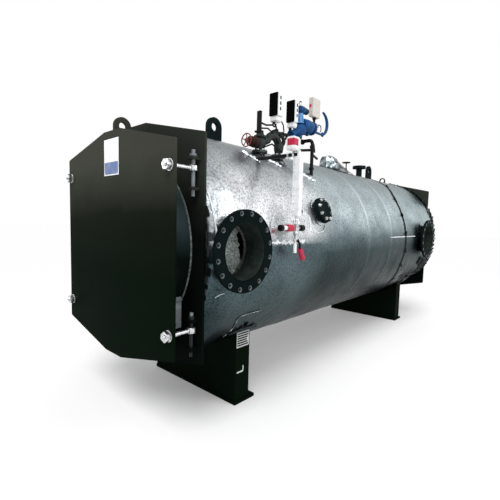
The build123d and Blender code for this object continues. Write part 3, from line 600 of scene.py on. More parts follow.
def finish(name):
    """Makes each finish once."""
    makers = {
        "foil": lambda: crinkled_foil("Crinkled foil", 0.30, 40, 2.4),
        "crumpled foil": lambda: crinkled_foil("Crumpled foil", 0.24, 34, 4.0),
        "bare foil": lambda: bare_foil("Bare foil", "#9aa0a2", "#d0d4d6", "#f4f6f7"),
        "cowl foil": lambda: bare_foil("Cowl foil", "#1c2123", "#535a5d", "#b0b6b9", 60),
        "tape": foil_tape,
        # the enamels carry a painted sheen in their colour, paler higher up
        "enamel": lambda: gloss_enamel("Black enamel", "#09120b", "#141912", "#3b3d36", specular=0.003,
                                       rise=0.05),
        "flange enamel": lambda: gloss_enamel("Flange enamel", "#070e0d", "#0c1414", "#182122", 0.42, 0.006),
        "inner enamel": lambda: gloss_enamel("Inner plate enamel", "#080e0c", "#0c1210", "#30342f",
                                             specular=0.003),
        # painted highlight: a pale band high on the drum, darker above and below
        "drum enamel": lambda: gloss_enamel("Drum enamel", "#0c1412", "#46575b", "#1e2725",
                                            0.30, 0.04, 0.12),
        "plate": boiler_plate,
        "fibre": fibre_blanket,
        "refractory": cast_refractory,
        "zinc": zinc_plate,
        "casting": lambda: paint("Grey-green casting", "#1f2623", "#4c5550", 0.5, 16, 1.0, 0.2),
        "pipe": lambda: paint("Black pipe paint", "#090b0c", "#1e2224", 0.42, 14, 0.5, 0.12),
        "white": lambda: paint("White enamel", "#e6e8ea", "#d3d6d8", 0.35, 20, 0.2),
        "black housing": lambda: moulding("Black housing", "#050606", 0.5, 0.01),
        "white housing": lambda: moulding("White housing", "#eff0f1", 0.45),
        "blue": lambda: paint("Blue enamel", "#063c6c", "#135c96", 0.35, 12, 0.6, 0.15),
        "pale blue": lambda: paint("Pale blue enamel", "#4f86bd", "#6c9fce", 0.35, 12, 0.6),
        "wheel red": lambda: paint("Red-brown wheel paint", "#6e3531", "#a05a54", 0.45),
        "rusty": lambda: paint("Rusty yoke", "#2a1b19", "#57342f", 0.6, 16, 0.8, 0.1),
        "label red": lambda: paint("Red vinyl", "#b01038", "#be2f50", 0.4, 30, 0.1),
        "brass": turned_brass,
        "beige": lambda: moulding("Beige housing", "#cfc9c2", 0.5),
        "sign white": lambda: paint("White sign enamel", "#e8ebee", "#dfe3e6", 0.3, 40, 0.1),
        "sign blue": lambda: paint("Blue sign enamel", "#0e4484", "#17539a", 0.3, 40, 0.1),
        "galvanised": lambda: paint("Galvanised bracket", "#6a7073", "#868c8f", 0.5, 18, 0.3, 0.3),
        # pale matt finish for torn foil edges: a painted highlight
        "foil edge highlight": lambda: paint("Torn foil edge highlight", "#dce0e2", "#f4f6f7", 0.5, 10, 0.3, 0.3),
        "pin steel": pin_steel,
        "nozzle enamel": nozzle_enamel,
        "band": woven_band,
        "data plate": lambda: paint("Blank data plate", "#b9bdbc", "#cdd0cf", 0.4, 20, 0.2),
    }
    if name not in FINISHES:
        FINISHES[name] = makers[name]()
    return FINISHES[name]


def dress(finish_name, *node_names):
    """Gives CAD nodes their finish."""
    for node_name in node_names:
        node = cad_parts[node_name]
        if not node.material_slots:
            node.data.materials.append(None)
        for place in node.material_slots:
            place.material = finish(finish_name)


# The foil's own surface

def wrap(y, turn, stand=0.0):
    """A point on the jacket: turn is the angle above +X, stand the height over the foil's own surface."""
    radius = FOIL_RADIUS + crumple(y, turn) + stand
    return Vector((radius * math.cos(turn), y, AXIS_Z + radius * math.sin(turn)))


def crumple(y, turn):
    """How far the foil stands off its cylinder, in millimetres."""
    spot = Vector((FOIL_RADIUS * math.cos(turn), y, FOIL_RADIUS * math.sin(turn))) * MM
    sag = noise.noise(spot * 1.4) * 5.0
    pillow = noise.noise(spot * 5.0 + Vector((7, 3, 1))) * 2.6
    ridge = 1.0 - abs(noise.noise(Vector((spot.x, spot.y * 2.2, spot.z)) * 9.0)) * 3.0
    crease = max(0.0, ridge) ** 3 * 2.0
    busy = foil_busy(spot)
    return sag + pillow + crease * (0.4 + busy) + busy * noise.noise(spot * 16.0) * 5.5 - 3.0


def foil_busy(spot):
    """Where hands have worked the foil round nozzles and saddles it is crumpled more: 0 to 1."""
    reach = 0.0
    for centre, size in BUSY_PLACES:
        reach = max(reach, 1.0 - (spot - centre).length / size)
    return min(1.0, max(0.0, reach) * 1.6)


def busy_place(x, y, z, size):
    """A worked place and its reach, in metres, measured from the boiler's axis."""
    return Vector((x, y, z - AXIS_Z)) * MM, size * MM


BUSY_PLACES = [
    busy_place(FOIL_RADIUS, 80, 1560, 170),
    busy_place(880, INLET_Y, AXIS_Z, 330),
    busy_place(900, OUTLET_Y, AXIS_Z - 60, 380),
    busy_place(500, 150, 2130, 420),
    busy_place(560, 0, 640, 420),
    busy_place(560, 3700, 640, 460),
    busy_place(760, 4150, 1000, 420),
    busy_place(600, 4150, 2000, 320),
    busy_place(600, 860, 2050, 200),
    busy_place(0, 2300, 2275, 320),
]


class Opening:
    """A hole in the foil: round or oblong, seen along a direction."""

    def __init__(self, centre, along, half_sizes):
        self.centre = Vector(centre)
        self.along = Vector(along).normalized()
        self.first = BACK if abs(self.along.y) < 0.9 else SIDE
        self.second = self.along.cross(self.first)
        self.half_sizes = half_sizes

    def depth(self, point):
        """How deep a point lies inside the hole, in millimetres, negative outside it."""
        away = point - self.centre
        if away.dot(self.along) < 0:
            return -1000.0
        u, v = abs(away.dot(self.first)), abs(away.dot(self.second))
        if len(self.half_sizes) == 1:
            return self.half_sizes[0] - math.hypot(u, v)
        return min(self.half_sizes[0] - u, self.half_sizes[1] - v)

    def rim(self, point):
        """The point moved out to the hole's edge."""
        away = point - self.centre
        u, v = away.dot(self.first), away.dot(self.second)
        if len(self.half_sizes) == 1:
            grow = self.half_sizes[0] / max(1.0, math.hypot(u, v))
            return point + self.first * u * (grow - 1) + self.second * v * (grow - 1)
        if self.half_sizes[0] - abs(u) < self.half_sizes[1] - abs(v):
            return point + self.first * (math.copysign(self.half_sizes[0], u) - u)
        return point + self.second * (math.copysign(self.half_sizes[1], v) - v)


PIPE_GAP = 3.0
# The saddles' webs: how far their foot stands before them, and their half depth and half width
SADDLE_FOOT = 5
SADDLE_DEPTH = 85
SADDLE_WIDTH = 570


def saddle_middle(node_name):
    """Where a saddle's web is centred along the boiler."""
    return corner(node_name, 0).y + SADDLE_FOOT + SADDLE_DEPTH


STUB_1_Y = corner("feed_valve", 0).y + 62
STUB_2_Y = corner("feed_valve", 1).y - 62
OPENINGS = [
    *(Opening((0, y, AXIS_Z), SIDE, (NECK_RADIUS + PIPE_GAP,)) for y in (INLET_Y, OUTLET_Y)),
    Opening((0, HANDHOLE_Y, AXIS_Z), (math.cos(HANDHOLE_ANGLE), 0, math.sin(HANDHOLE_ANGLE)), (84,)),
    Opening((0, STEAM_Y, AXIS_Z), UP, (48,)),
    *(Opening((TRIM_X, y, AXIS_Z), UP, (40,)) for y in (STUB_1_Y, STUB_2_Y)),
]
# the two saddles, and the lifting lugs at their places along the boiler
OPENINGS += [Opening((0, saddle_middle(name), AXIS_Z), (0, 0, -1), (SADDLE_DEPTH + 1, SADDLE_WIDTH + 1))
             for name in ("front_saddle", "rear_saddle")]
OPENINGS += [Opening((0, y, AXIS_Z), UP, (92, 17)) for y in (110, 3600)]

# How the foil is tucked in at the front plate and at the rear: how far along the jacket, and how deep
FRONT_REACH, FRONT_DROP = 200.0, 60.0
REAR_REACH, REAR_DROP = 24, 12
# Radii of the flat rings that close the foil's ends
END_RINGS = (800, 760, 700)


def foil_skin(y_from, y_to, cell, front_end, rear_end):
    """One length of foil on the cylinder, with holes, tucked ends and the rings that close them."""
    form = Form()
    count = round(2 * math.pi * FOIL_RADIUS / cell)
    turns = around(count)
    steps = max(1, round((y_to - y_from) / cell))
    places = [y_from + (y_to - y_from) * i / steps for i in range(steps + 1)]
    margin = 300
    near = [opening for opening in OPENINGS if y_from - margin < opening.centre.y < y_to + margin]
    rows = []
    for y in places:
        row = []
        for turn in turns:
            drop = 0.0
            if front_end:
                share = max(0.0, 1 - (y - y_from) / FRONT_REACH)
                fold = wander(math.cos(turn) * 14, y * 0.025, math.sin(turn) * 14)
                drop = (FRONT_DROP + 10 * fold) * share ** 1.5
            if rear_end:
                drop = REAR_DROP * max(0.0, 1 - (y_to - y) / REAR_REACH)
            point = wrap(y, turn, -drop)
            for opening in near:
                depth = opening.depth(point)
                if depth > cell * 0.6:
                    point = None
                    break
                if depth > -cell * 0.4:
                    point = opening.rim(point)
            row.append(None if point is None else form.bm.verts.new(point))
        rows.append(row)
    for low, high in zip(rows, rows[1:]):
        for k in range(count):
            j = (k + 1) % count
            ring = (low[k], low[j], high[j], high[k])
            if None not in ring:
                form.face(ring)
    ends = [(places[0], rows[0])] if front_end else []
    ends += [(places[-1], rows[-1])] if rear_end else []
    for y, previous in ends:
        for radius in END_RINGS:
            ring = [(radius * math.cos(turn), y, AXIS_Z + radius * math.sin(turn)) for turn in turns]
            made = [form.bm.verts.new(point) for point in ring]
            for k in range(count):
                j = (k + 1) % count
                if previous[k] is not None and previous[j] is not None:
                    form.face((previous[k], previous[j], made[j], made[k]))
            previous = made
    return form


def ribbon(form, path, width, stand=1.2, ragged=0.0, lift=0.0, step=16.0, backed=False):
    """A strip along (y, turn) places on the jacket. ragged roughens its edges, lift curls one edge up."""
    line = [wrap(y, turn) for y, turn in path]
    places = []
    for (a, b), (pa, pb) in zip(zip(path, path[1:]), zip(line, line[1:])):
        count = max(1, round((pb - pa).length / step))
        for i in range(count):
            share = i / count
            places.append((a[0] + (b[0] - a[0]) * share, a[1] + (b[1] - a[1]) * share))
    places.append(path[-1])
    rows = []
    for i, (y, turn) in enumerate(places):
        before, after = places[max(i - 1, 0)], places[min(i + 1, len(places) - 1)]
        along = Vector((after[0] - before[0], (after[1] - before[1]) * FOIL_RADIUS)).normalized()
        row = []
        for k in range(5):
            share = k / 4 - 0.5
            jag = ragged * wander(y * 0.045, turn * 37.0, k * 3.1)
            off = share * width + (jag if k in (0, 4) else 0.0)
            spot_y = y - along.y * off
            spot_turn = turn + along.x * off / FOIL_RADIUS
            raised = stand * (0.2 if k in (0, 4) and not lift else 1.0)
            raised += lift * max(0.0, share * 2) ** 2 * (0.7 + 0.6 * wander(i * 0.35, 5.0, 1.0))
            row.append(wrap(spot_y, spot_turn, raised))
        rows.append(row)
    form.grid(rows)
    if lift or backed:
        sheet = 0.8
        back = [[p + (p - on_axis(p.y)).normalized() * -sheet for p in row] for row in rows]
        form.grid([list(reversed(row)) for row in back])


def scrap(form, y, turn, length, width, heading, lift, seed, finish_number=0):
    """A torn, curled scrap of foil stuck on the jacket."""
    rows = []
    for i in range(7):
        share = i / 6
        row = []
        for k in range(5):
            across_share = k / 4 - 0.5
            jag = wander(i * 0.9, k * 1.3, seed * 5.3)
            wide = width * (0.4 + 0.6 * math.sin(math.pi * (0.15 + 0.7 * share))) * (1 + 0.35 * jag)
            u = (share - 0.5) * length * (1 + 0.15 * jag)
            v = across_share * wide
            place_y = y + u * math.cos(heading) - v * math.sin(heading)
            place_turn = turn + (u * math.sin(heading) + v * math.cos(heading)) / FOIL_RADIUS
            raised = 1.5 + lift * share ** 2 * (0.8 + 0.6 * jag) + lift * 0.3 * abs(across_share) * 2
            row.append(wrap(place_y, place_turn, raised))
        rows.append(row)
    form.grid(rows, finish_number)


# Settings that a user would change

class FoilSettings(bpy.types.PropertyGroup):
    """The foil's mesh and its tapes."""

    cell: FloatProperty(name="Cell", description="Size of the foil mesh's cells",
                        default=0.016, unit="LENGTH")
    tape_width: FloatProperty(name="Tape width", description="Width of the foil tape",
                              default=0.060, unit="LENGTH")
    band_width: FloatProperty(name="Band width", description="Width of the black band",
                              default=0.066, unit="LENGTH")


class HardwareSettings(bpy.types.PropertyGroup):
    """Bolts and nuts."""

    tie_nut: FloatProperty(
        name="Tie nut", description="Tie nuts' width across flats", default=0.064, unit="LENGTH")
    handhole_bolts: IntProperty(name="Handhole bolts",
                                description="Bolts round the handhole cover", default=8)
    cover_bolts: IntProperty(name="Cover bolts", description="Bolts round the rear cover", default=20)


class StageSettings(bpy.types.PropertyGroup):
    """Camera and lights."""

    camera_place: FloatVectorProperty(
        name="Camera place", description="Where the camera stands", default=(2.5539, -2.1971, 1.5583),
        subtype="TRANSLATION", unit="LENGTH")
    yaw: FloatProperty(name="Yaw", description="Camera's turn to the left of +Y", default=0.728,
                       unit="ROTATION")
    pitch: FloatProperty(name="Pitch", description="Camera's tilt down", default=0.083, unit="ROTATION")
    roll: FloatProperty(name="Roll", description="Camera's roll", default=0.026, unit="ROTATION")
    lens: FloatProperty(name="Lens", description="Focal length on a 36 mm sensor", default=25.497)
    sun: FloatProperty(name="Sun", description="Strength of the soft sun", default=2.0)
    ambient: FloatProperty(name="Ambient", description="World light on the object", default=0.50)
    side: FloatProperty(name="Side light",
                        description="Power of the soft box on the gas side", default=110.0)
    fill: FloatProperty(name="Floor fill",
                        description="Power of the lamp on the floor before the door", default=32.0)


def settings_of(context, name):
    """One of the boiler's property groups on the scene."""
    return getattr(context.scene, "boiler_" + name)


# Operators, one for each piece or group of like pieces

class BoilerOperator:
    """What all the boiler's operators share."""

    bl_options = {"REGISTER", "UNDO"}

    def execute(self, context):
        self.build(context)
        return {"FINISHED"}


class MakeStage(BoilerOperator, bpy.types.Operator):
    """Pale floor, white surroundings, soft lights and the camera"""

    bl_idname = "boiler.make_stage"
    bl_label = "Stage, lights and camera"

    def build(self, context):
        chosen = settings_of(context, "stage")
        scene = context.scene
        scene.view_settings.view_transform = "Standard"
        data = bpy.data.cameras.new("Photograph view")
        data.sensor_width = 36
        data.lens = chosen.lens
        camera = bpy.data.objects.new("Photograph view", data)
        scene.collection.objects.link(camera)
        scene.camera = camera
        flat = math.cos(chosen.pitch)
        forward = Vector((-math.sin(chosen.yaw) * flat, math.cos(chosen.yaw) * flat,
                          -math.sin(chosen.pitch)))
        right = forward.cross(UP).normalized()
        up = right.cross(forward)
        turn = Matrix.Rotation(-chosen.roll, 3, forward)
        right, up = turn @ right, turn @ up
        axes = Matrix((right, up, -forward)).transposed().to_4x4()
        camera.matrix_world = Matrix.Translation(Vector(chosen.camera_place)) @ axes

        floor = Form()
        reach = 60000
        floor.grid([[(-reach, -reach, 0), (reach, -reach, 0)], [(-reach, reach, 0), (reach, reach, 0)]])
        mesh = bpy.data.meshes.new("Studio floor")
        bmesh.ops.scale(floor.bm, vec=(MM, MM, MM), verts=floor.bm.verts)
        floor.bm.to_mesh(mesh)
        floor.bm.free()
        ground = bpy.data.objects.new("Studio_floor", mesh)
        scene.collection.objects.link(ground)
        mesh.materials.append(studio_floor())
        white_world(scene, chosen.ambient)
        add_lamp(scene, "Soft sun", "SUN", chosen.sun, (0.85, -1.45, 2.4), math.radians(30))
        add_lamp(scene, "Side box", "AREA", chosen.side, (5.2, 1.6, 4.0), 3.4)
        add_lamp(scene, "Floor fill", "AREA", chosen.fill, (-3.4, -3.0, 2.6), 2.0, (-0.9, -0.6, 0.0))


def seen_rays(tree):
    """1 for rays that show the surroundings: camera, glossy and transmission rays."""
    path = add_node(tree, "ShaderNodeLightPath")
    gloss = add_node(tree, "ShaderNodeMath", {"operation": "MAXIMUM"},
                     {0: path.outputs["Is Camera Ray"], 1: path.outputs["Is Glossy Ray"]})
    return add_node(tree, "ShaderNodeMath", {"operation": "MAXIMUM"},
                    {0: gloss.outputs[0], 1: path.outputs["Is Transmission Ray"]}).outputs[0]


def studio_floor():
    """Painted studio floor: near white and matt, so the boiler's shadow shows on it."""
    material = bpy.data.materials.new("Studio floor")
    material.use_nodes = True
    tree = material.node_tree
    shader = tree.nodes["Principled BSDF"]
    shader.inputs["Base Color"].default_value = linear("#fbfbfb")
    shader.inputs["Roughness"].default_value = 1.0
    shader.inputs["Specular IOR Level"].default_value = 0.0
    glow = add_node(tree, "ShaderNodeEmission", {"Color": (1, 1, 1, 1), "Strength": 1.0})
    share = add_node(tree, "ShaderNodeMath", {"operation": "MULTIPLY", 1: 0.15}, {0: seen_rays(tree)})
    mixed = add_node(tree, "ShaderNodeMixShader",
                     links={0: share.outputs[0], 1: shader.outputs[0], 2: glow.outputs[0]})
    tree.links.new(mixed.outputs[0], tree.nodes["Material Output"].inputs["Surface"])
    return material


def white_world(scene, ambient):
    """White all round where it is seen or mirrored, and an even soft light on the object."""
    world = bpy.data.worlds.new("White studio")
    scene.world = world
    world.use_nodes = True
    tree = world.node_tree
    background = tree.nodes["Background"]
    background.inputs["Color"].default_value = (1, 1, 1, 1)
    strength = add_node(tree, "ShaderNodeMapRange", {"To Min": ambient, "To Max": 1.0},
                        {"Value": seen_rays(tree)})
    tree.links.new(strength.outputs[0], background.inputs["Strength"])


def add_lamp(scene, name, kind, strength, place, size, target=(0, 1.6, 1.35)):
    """A soft lamp; an area lamp looks at its target, by default the middle of the boiler."""
    lamp = bpy.data.lights.new(name, kind)
    lamp.energy = strength
    if kind == "SUN":
        lamp.angle = size
    else:
        lamp.size = size
    made = bpy.data.objects.new(name, lamp)
    scene.collection.objects.link(made)
    aim = Vector(target) if kind == "AREA" else Vector((0, 0, 0))
    made.location = place
    made.rotation_euler = (Vector(place) - aim).to_track_quat("Z", "Y").to_euler()


class PaintPlates(BoilerOperator, bpy.types.Operator):
    """Finishes for the plates, saddles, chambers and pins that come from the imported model"""

    bl_idname = "boiler.paint_plates"
    bl_label = "Plates, saddles and shell"

    def build(self, context):
        dress("enamel", "front_saddle", "rear_saddle", "door_plate", "door_lug")
        dress("inner enamel", "front_plate", "pin_tabs", "rear_plate", "rear_cover")
        dress("nozzle enamel", "gas_inlet_nozzle", "gas_outlet_nozzle")
        dress("flange enamel", "steam_nozzle", "lifting_lugs", "rear_eye")
        dress("pin steel", "hinge_pins", "clamp_pins")
        dress("drum enamel", "door_drum")
        dress("plate", "front_chamber", "boiler_barrel", "rear_chamber", "tube_sheets")
        dress("fibre", "chamber_lining", "door_gasket")
        dress("refractory", "door_refractory")
        dress("pipe", "level_pipes")


class MakeFoilJacket(BoilerOperator, bpy.types.Operator):
    """Foil skins over the four lengths of insulation"""

    bl_idname = "boiler.make_foil_jacket"
    bl_label = "Foil jacket"

    def build(self, context):
        cell = settings_of(context, "foil").cell / MM
        lengths = (
            ("Foil_front_length", "jacket_front_length", JACKET_FRONT, SEAM_1, True, False),
            ("Foil_middle_length", "jacket_middle_length", SEAM_1, SEAM_2, False, False),
            ("Foil_rear_length", "jacket_rear_length", SEAM_2, SEAM_3, False, False),
            ("Foil_tail_length", "jacket_tail_length", SEAM_3, JACKET_REAR, False, True),
        )
        for name, node_name, y_from, y_to, front_end, rear_end in lengths:
            form = foil_skin(y_from, y_to, cell, front_end, rear_end)
            form.piece(name, ["foil"], "boiler", "foil", [node_name], smooth=60)


def turn_at(z):
    """The angle on the near side at which the jacket reaches a height."""
    return math.asin(max(-1.0, min(1.0, (z - AXIS_Z) / FOIL_RADIUS)))


# Bright folded edges under the trim: (y, turn) points and width
FLAP_PATHS = (
    (((-30, 0.999), (10, 0.93), (78, 0.845), (112, 0.87)), 20),
    (((235, 0.957), (300, 0.90), (362, 0.838), (395, 0.87)), 20),
    (((640, 0.80), (760, 0.72), (800, 0.70)), 18),
)

# Torn edges with a painted highlight round the gauge's lower pipe, under the handhole, at the front plate
# and the front saddle
EDGE_PATHS = (
    (((-135, 0.138), (-110, 0.22), (-63, 0.288), (-2, 0.311), (56, 0.30)), 9),
    (((281, 0.309), (361, 0.322), (426, 0.285), (436, 0.209), (415, 0.134)), 9),
    (((450, 0.20), (476, 0.150), (553, 0.126), (636, 0.148), (672, 0.20)), 9),
    (((-640, -0.330), (-600, -0.312), (-560, -0.312)), 8),
    (((-290, -0.880), (-276, -0.712), (-300, -0.620), (-270, -0.589), (-179, -0.578), (-47, -0.577)), 9),
)

# Rows of torn scraps over the saddles and at the rear end: their number and the noise that moves them;
# start, step and sway of their place along the boiler and of their height; size; heading and its sway;
# lift, seed and tone
TORN_ROWS = (
    (16, (2.3, 8.0, 4.0), (3250, 55, 30), (780, 0, 130), (90, 50), (0, 2.5), 14, 40, 0),
    (12, (1.9, 1.0, 7.0), (-240, 26, 0), (665, 0, 70), (80, 44), (0.6, 2), 12, 60, 0),
    (14, (2.9, 5.0, 3.0), (JACKET_REAR - 60, -34, 0), (840, 14, 90), (130, 66), (1.4, 2), 22, 90, 1),
    (9, (2.1, 6.0, 5.0), (JACKET_REAR - 36, 0, 0), (1640, 62, 0), (130, 56), (1.3, 1), 26, 110, 1),
)


class MakeFoilTape(BoilerOperator, bpy.types.Operator):
    """Tape seams round and along the jacket, torn flaps and scraps"""

    bl_idname = "boiler.make_foil_tape"
    bl_label = "Foil tape and flaps"

    def build(self, context):
        width = settings_of(context, "foil").tape_width / MM
        tape = Form()
        for y in (SEAM_1, SEAM_2):
            ring = [(y, math.radians(a)) for a in range(-60, 241, 10)]
            ribbon(tape, ring, width, ragged=2.0, step=30)
        seam_height = 1395
        side_turn = turn_at(seam_height)
        far = math.pi - side_turn
        ribbon(tape, [(JACKET_FRONT + 30, far), (1600, far), (4100, far)], width, ragged=4.0, step=30)
        tape.piece("Foil_tape", ["tape"], "boiler", "foil", smooth=50)

        # the torn edges and seam edges are drawn in a pale matt finish, a painted highlight
        edge = Form()
        ribbon(edge, [(-236, turn_at(1402)), (60, turn_at(1394)), (330, turn_at(1398))], 20,
               ragged=24.0, step=7)
        for path, width in EDGE_PATHS:
            ribbon(edge, path, width, lift=9, ragged=5, step=8)
        front_edge = [(JACKET_FRONT + 24, 1.25 - 0.1 * i) for i in range(14)]
        ribbon(edge, front_edge, 11, stand=-45, ragged=5, lift=8, step=10)
        ribbon(edge, [(2262, side_turn), (2760, side_turn), (3215, side_turn)], 11, ragged=4.0, step=20)
        edge.piece("Seam_edge_highlight", ["foil edge highlight"], "boiler", "foil", smooth=50)

        flaps = Form()
        for path, width in FLAP_PATHS:
            ribbon(flaps, path, width, lift=20, ragged=6, step=9)
        flaps.piece("Foil_flaps", ["bare foil"], "boiler", "foil", smooth=50)

        torn = Form()
        count = 34
        for i in range(count):
            share = i / (count - 1)
            turn = math.radians(-62 + 150 * share)
            jitter = wander(i * 1.7, 2.0, 9.0)
            y = JACKET_REAR - 40 - 60 * abs(jitter)
            scrap(torn, y, turn, 120 + 60 * jitter, 60 + 30 * jitter, 1.2 + jitter,
                  16 + 14 * abs(jitter), i, i % 2)
        for count, spot, along, height, size, heading, lift, seed, tone in TORN_ROWS:
            for i in range(count):
                jitter = wander(i * spot[0], spot[1], spot[2])
                y, z = (start + step * i + sway * jitter for start, step, sway in (along, height))
                slant = heading[0] + heading[1] * jitter
                scrap(torn, y, turn_at(z), *size, slant, lift, i + seed, tone)
        for i in range(14):
            jitter = wander(i * 2.7, 3.0, 1.0)
            scrap(torn, REAR_SADDLE_FRONT - 34 + 26 * jitter, -0.74 - 0.05 * i, 150, 76, 1.5 + jitter,
                  30, i + 130, 1)
        torn.piece("Torn_foil", ["crumpled foil", "pipe"], "boiler", "foil", smooth=45)


class MakeFoilCollars(BoilerOperator, bpy.types.Operator):
    """Crumpled foil gathered round the nozzles, the handhole and the feed valve's pipes"""

    bl_idname = "boiler.make_foil_collars"
    bl_label = "Foil collars"

    def build(self, context):
        form = Form()
        sizes = ((40, 16), (46, 20), (42, 15), (30, 26), (40, 20), (40, 20))
        for opening, (reach, lift) in zip(OPENINGS, sizes):
            self.collar(form, opening, reach, lift)
        form.piece("Foil_collars", ["crumpled foil"], "boiler", "foil", smooth=45)

    def collar(self, form, opening, reach, lift):
        """A gathered ring of foil that climbs the pipe a little."""
        rows = []
        radius = opening.half_sizes[0]
        for ring in range(6):
            share = ring / 5
            row = []
            for turn in around(72):
                fold = wander(math.cos(turn) * 3, math.sin(turn) * 3, opening.centre.y * 0.01)
                fine = wander(math.cos(turn) * 11, math.sin(turn) * 11, ring * 0.6)
                out = radius + 1.5 + reach * share * (1 + 0.3 * fold)
                point = opening.centre + opening.first * out * math.cos(turn)
                point += opening.second * out * math.sin(turn)
                off_axis = on_axis(point.y) - point
                flat = off_axis - opening.along * off_axis.dot(opening.along)
                rise = math.sqrt(max(0.0, FOIL_RADIUS ** 2 - flat.length ** 2))
                base = point + opening.along * (rise - (point - on_axis(point.y)).dot(opening.along))
                climb = lift * (1 - share) ** 1.6 + (3 + 5 * abs(fold) + 4 * fine) * (1 - share) + 1.0
                row.append(base + opening.along * max(0.5, climb))
            rows.append(row)
        form.grid(rows, closed=True)


class MakeFoilCowl(BoilerOperator, bpy.types.Operator):
    """Folded foil cowl over the blanked nozzle on top"""

    bl_idname = "boiler.make_foil_cowl"
    bl_label = "Foil cowl"

    def build(self, context):
        low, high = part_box("foil_cowl")
        centre = (low + high) / 2 / MM
        top = high.z / MM
        radius = (high.x - low.x) / 2 / MM
        form = Form()
        rows = []
        # scale of the outline and share of the height, from the hem to the crown
        levels = ((1.42, 0.02), (1.20, 0.16), (1.08, 0.45), (1.02, 0.78), (0.86, 0.97),
                  (0.45, 1.0), (0.0, 1.0))
        sides = 9
        fine = 8
        for scale, share in levels:
            row = []
            for k in range(sides * fine):
                corner_turn = 2 * math.pi * (k // fine) / sides
                next_turn = 2 * math.pi * (k // fine + 1) / sides
                mix = (k % fine) / fine
                first = Vector((math.cos(corner_turn), math.sin(corner_turn)))
                second = Vector((math.cos(next_turn), math.sin(next_turn)))
                flat = (first * (1 - mix) + second * mix) * radius * scale
                flat.y *= 1.12
                if flat.x > 0:
                    # on the gas side the wrap is drawn down over the jacket
                    flat.x *= 1 + 1.1 * max(0.0, 1 - 1.2 * share)
                x, y = centre.x + flat.x, centre.y + flat.y
                base = AXIS_Z + math.sqrt(max(0.0, FOIL_RADIUS ** 2 - x ** 2)) + 1
                wobble = wander(flat.x * 0.03, flat.y * 0.03, share * 3) * 12
                # the wrap is highest towards the front and falls off behind
                fall = 1 - 0.26 * max(0.0, flat.y / radius + 0.7)
                z = base + (top - base) * share * fall + wobble * share
                row.append(Vector((x + wobble * 0.5, y, min(z, top + 4))))
            rows.append(row)
        form.grid(rows, closed=True)
        form.piece("Foil_cowl", ["cowl foil"], "boiler", "foil", ["foil_cowl"], smooth=25)
        loose = Form()
        for i in range(9):
            around = i * 2 * math.pi / 9
            y = centre.y + 205 * math.cos(around)
            turn = math.pi / 2 - 190 * math.sin(around) / FOIL_RADIUS
            scrap(loose, y, turn, 190, 96, around, 30, i + 200)
        loose.piece("Cowl_flaps", ["bare foil"], "boiler", "foil", smooth=40)


class MakeBand(BoilerOperator, bpy.types.Operator):
    """Black band tied round the tail of the jacket"""

    bl_idname = "boiler.make_band"
    bl_label = "Black band"

    def build(self, context):
        width = settings_of(context, "foil").band_width / MM
        way = [(3130, 1.25), (3061, 0.9647), (2817, 0.6309), (2800, 0.3735), (2815, 0.1035), (2849, -0.1522),
               (2869, -0.3933), (2980, -0.6748), (3090, -0.98)]
        over = [(3210, 1.57), (3220, 1.9), (3190, 2.5), (3160, 3.14), (3140, 3.9), (3120, 4.7), (3090, 5.30)]
        form = Form()
        ribbon(form, list(reversed(way)), width, stand=5.0, ragged=16.0, step=14, backed=True)
        ribbon(form, [way[0]] + over, width, stand=5.0, ragged=6.0, step=30, backed=True)
        for i, (y, turn) in enumerate(way[1:-1]):
            scrap(form, y + 10, turn, 84, 40, 0.9 + i, 18, i + 80)
        form.piece("Black_band", ["band"], "boiler", "black_enamel", smooth=50)


TIE_WASHER = 38.0
TIE_X = corner("tie_bolts", 1).x - TIE_WASHER
TIE_Z = corner("tie_bolts", 1).z - AXIS_Z - TIE_WASHER
TIE_END = corner("tie_bolts", 0).y
PIN_Y = midway("hinge_pins", "y")


class MakeTieBolts(BoilerOperator, bpy.types.Operator):
    """Tie bolts with their eyes, washers and chamfered nuts, on the door"""

    bl_idname = "boiler.make_tie_bolts"
    bl_label = "Tie bolts"

    def build(self, context):
        across = settings_of(context, "hardware").tie_nut / MM
        form = Form()
        washer, height = 6, 33
        for number, (side, level) in enumerate(((-1, -1), (-1, 1), (1, -1), (1, 1)), 1):
            x, z = side * TIE_X, AXIS_Z + level * TIE_Z
            form.turned([(TIE_WASHER - 18, 0), (TIE_WASHER, 0.5), (TIE_WASHER, washer - 1),
                         (TIE_WASHER - 2, washer), (15, washer)],
                        (x, DOOR_FACE, z), FRONT, 40)
            nut = Vector((x, DOOR_FACE - washer, z))
            form.hexagon(nut, FRONT, across, height, start=0.3 * number)
            self.thread(form, nut + FRONT * height, TIE_END - (DOOR_FACE - washer - height))
            form.turned([(14.6, 30), (14.6, PIN_Y - DOOR_FACE + washer)], (x, PIN_Y, z), FRONT, 24)
            self.eye(form, x, z)
        form.piece("Tie_bolts", ["zinc"], "door", "zinc_steel", ["tie_bolts"], smooth=35)

    def thread(self, form, base, reach):
        """The threaded end of the rod beyond the nut."""
        length = abs(reach)
        pitch = 3.5
        profile = [(13.2, -1)]
        for i in range(int(length / pitch) - 1):
            profile += [(15, (i + 0.4) * pitch), (13.2, (i + 0.9) * pitch)]
        profile += [(13, length - 2), (11, length), (0, length)]
        form.turned(profile, base, FRONT, 28)

    def eye(self, form, x, z):
        """The forged eye that sits round the pin, with rounded cheeks."""
        half = 20
        profile = [(13, -half), (26, -half), (31, -half + 5), (32, 0), (31, half - 5), (26, half),
                   (13, half), (13, -half)]
        form.turned(profile, (x, PIN_Y, z), UP, 40)


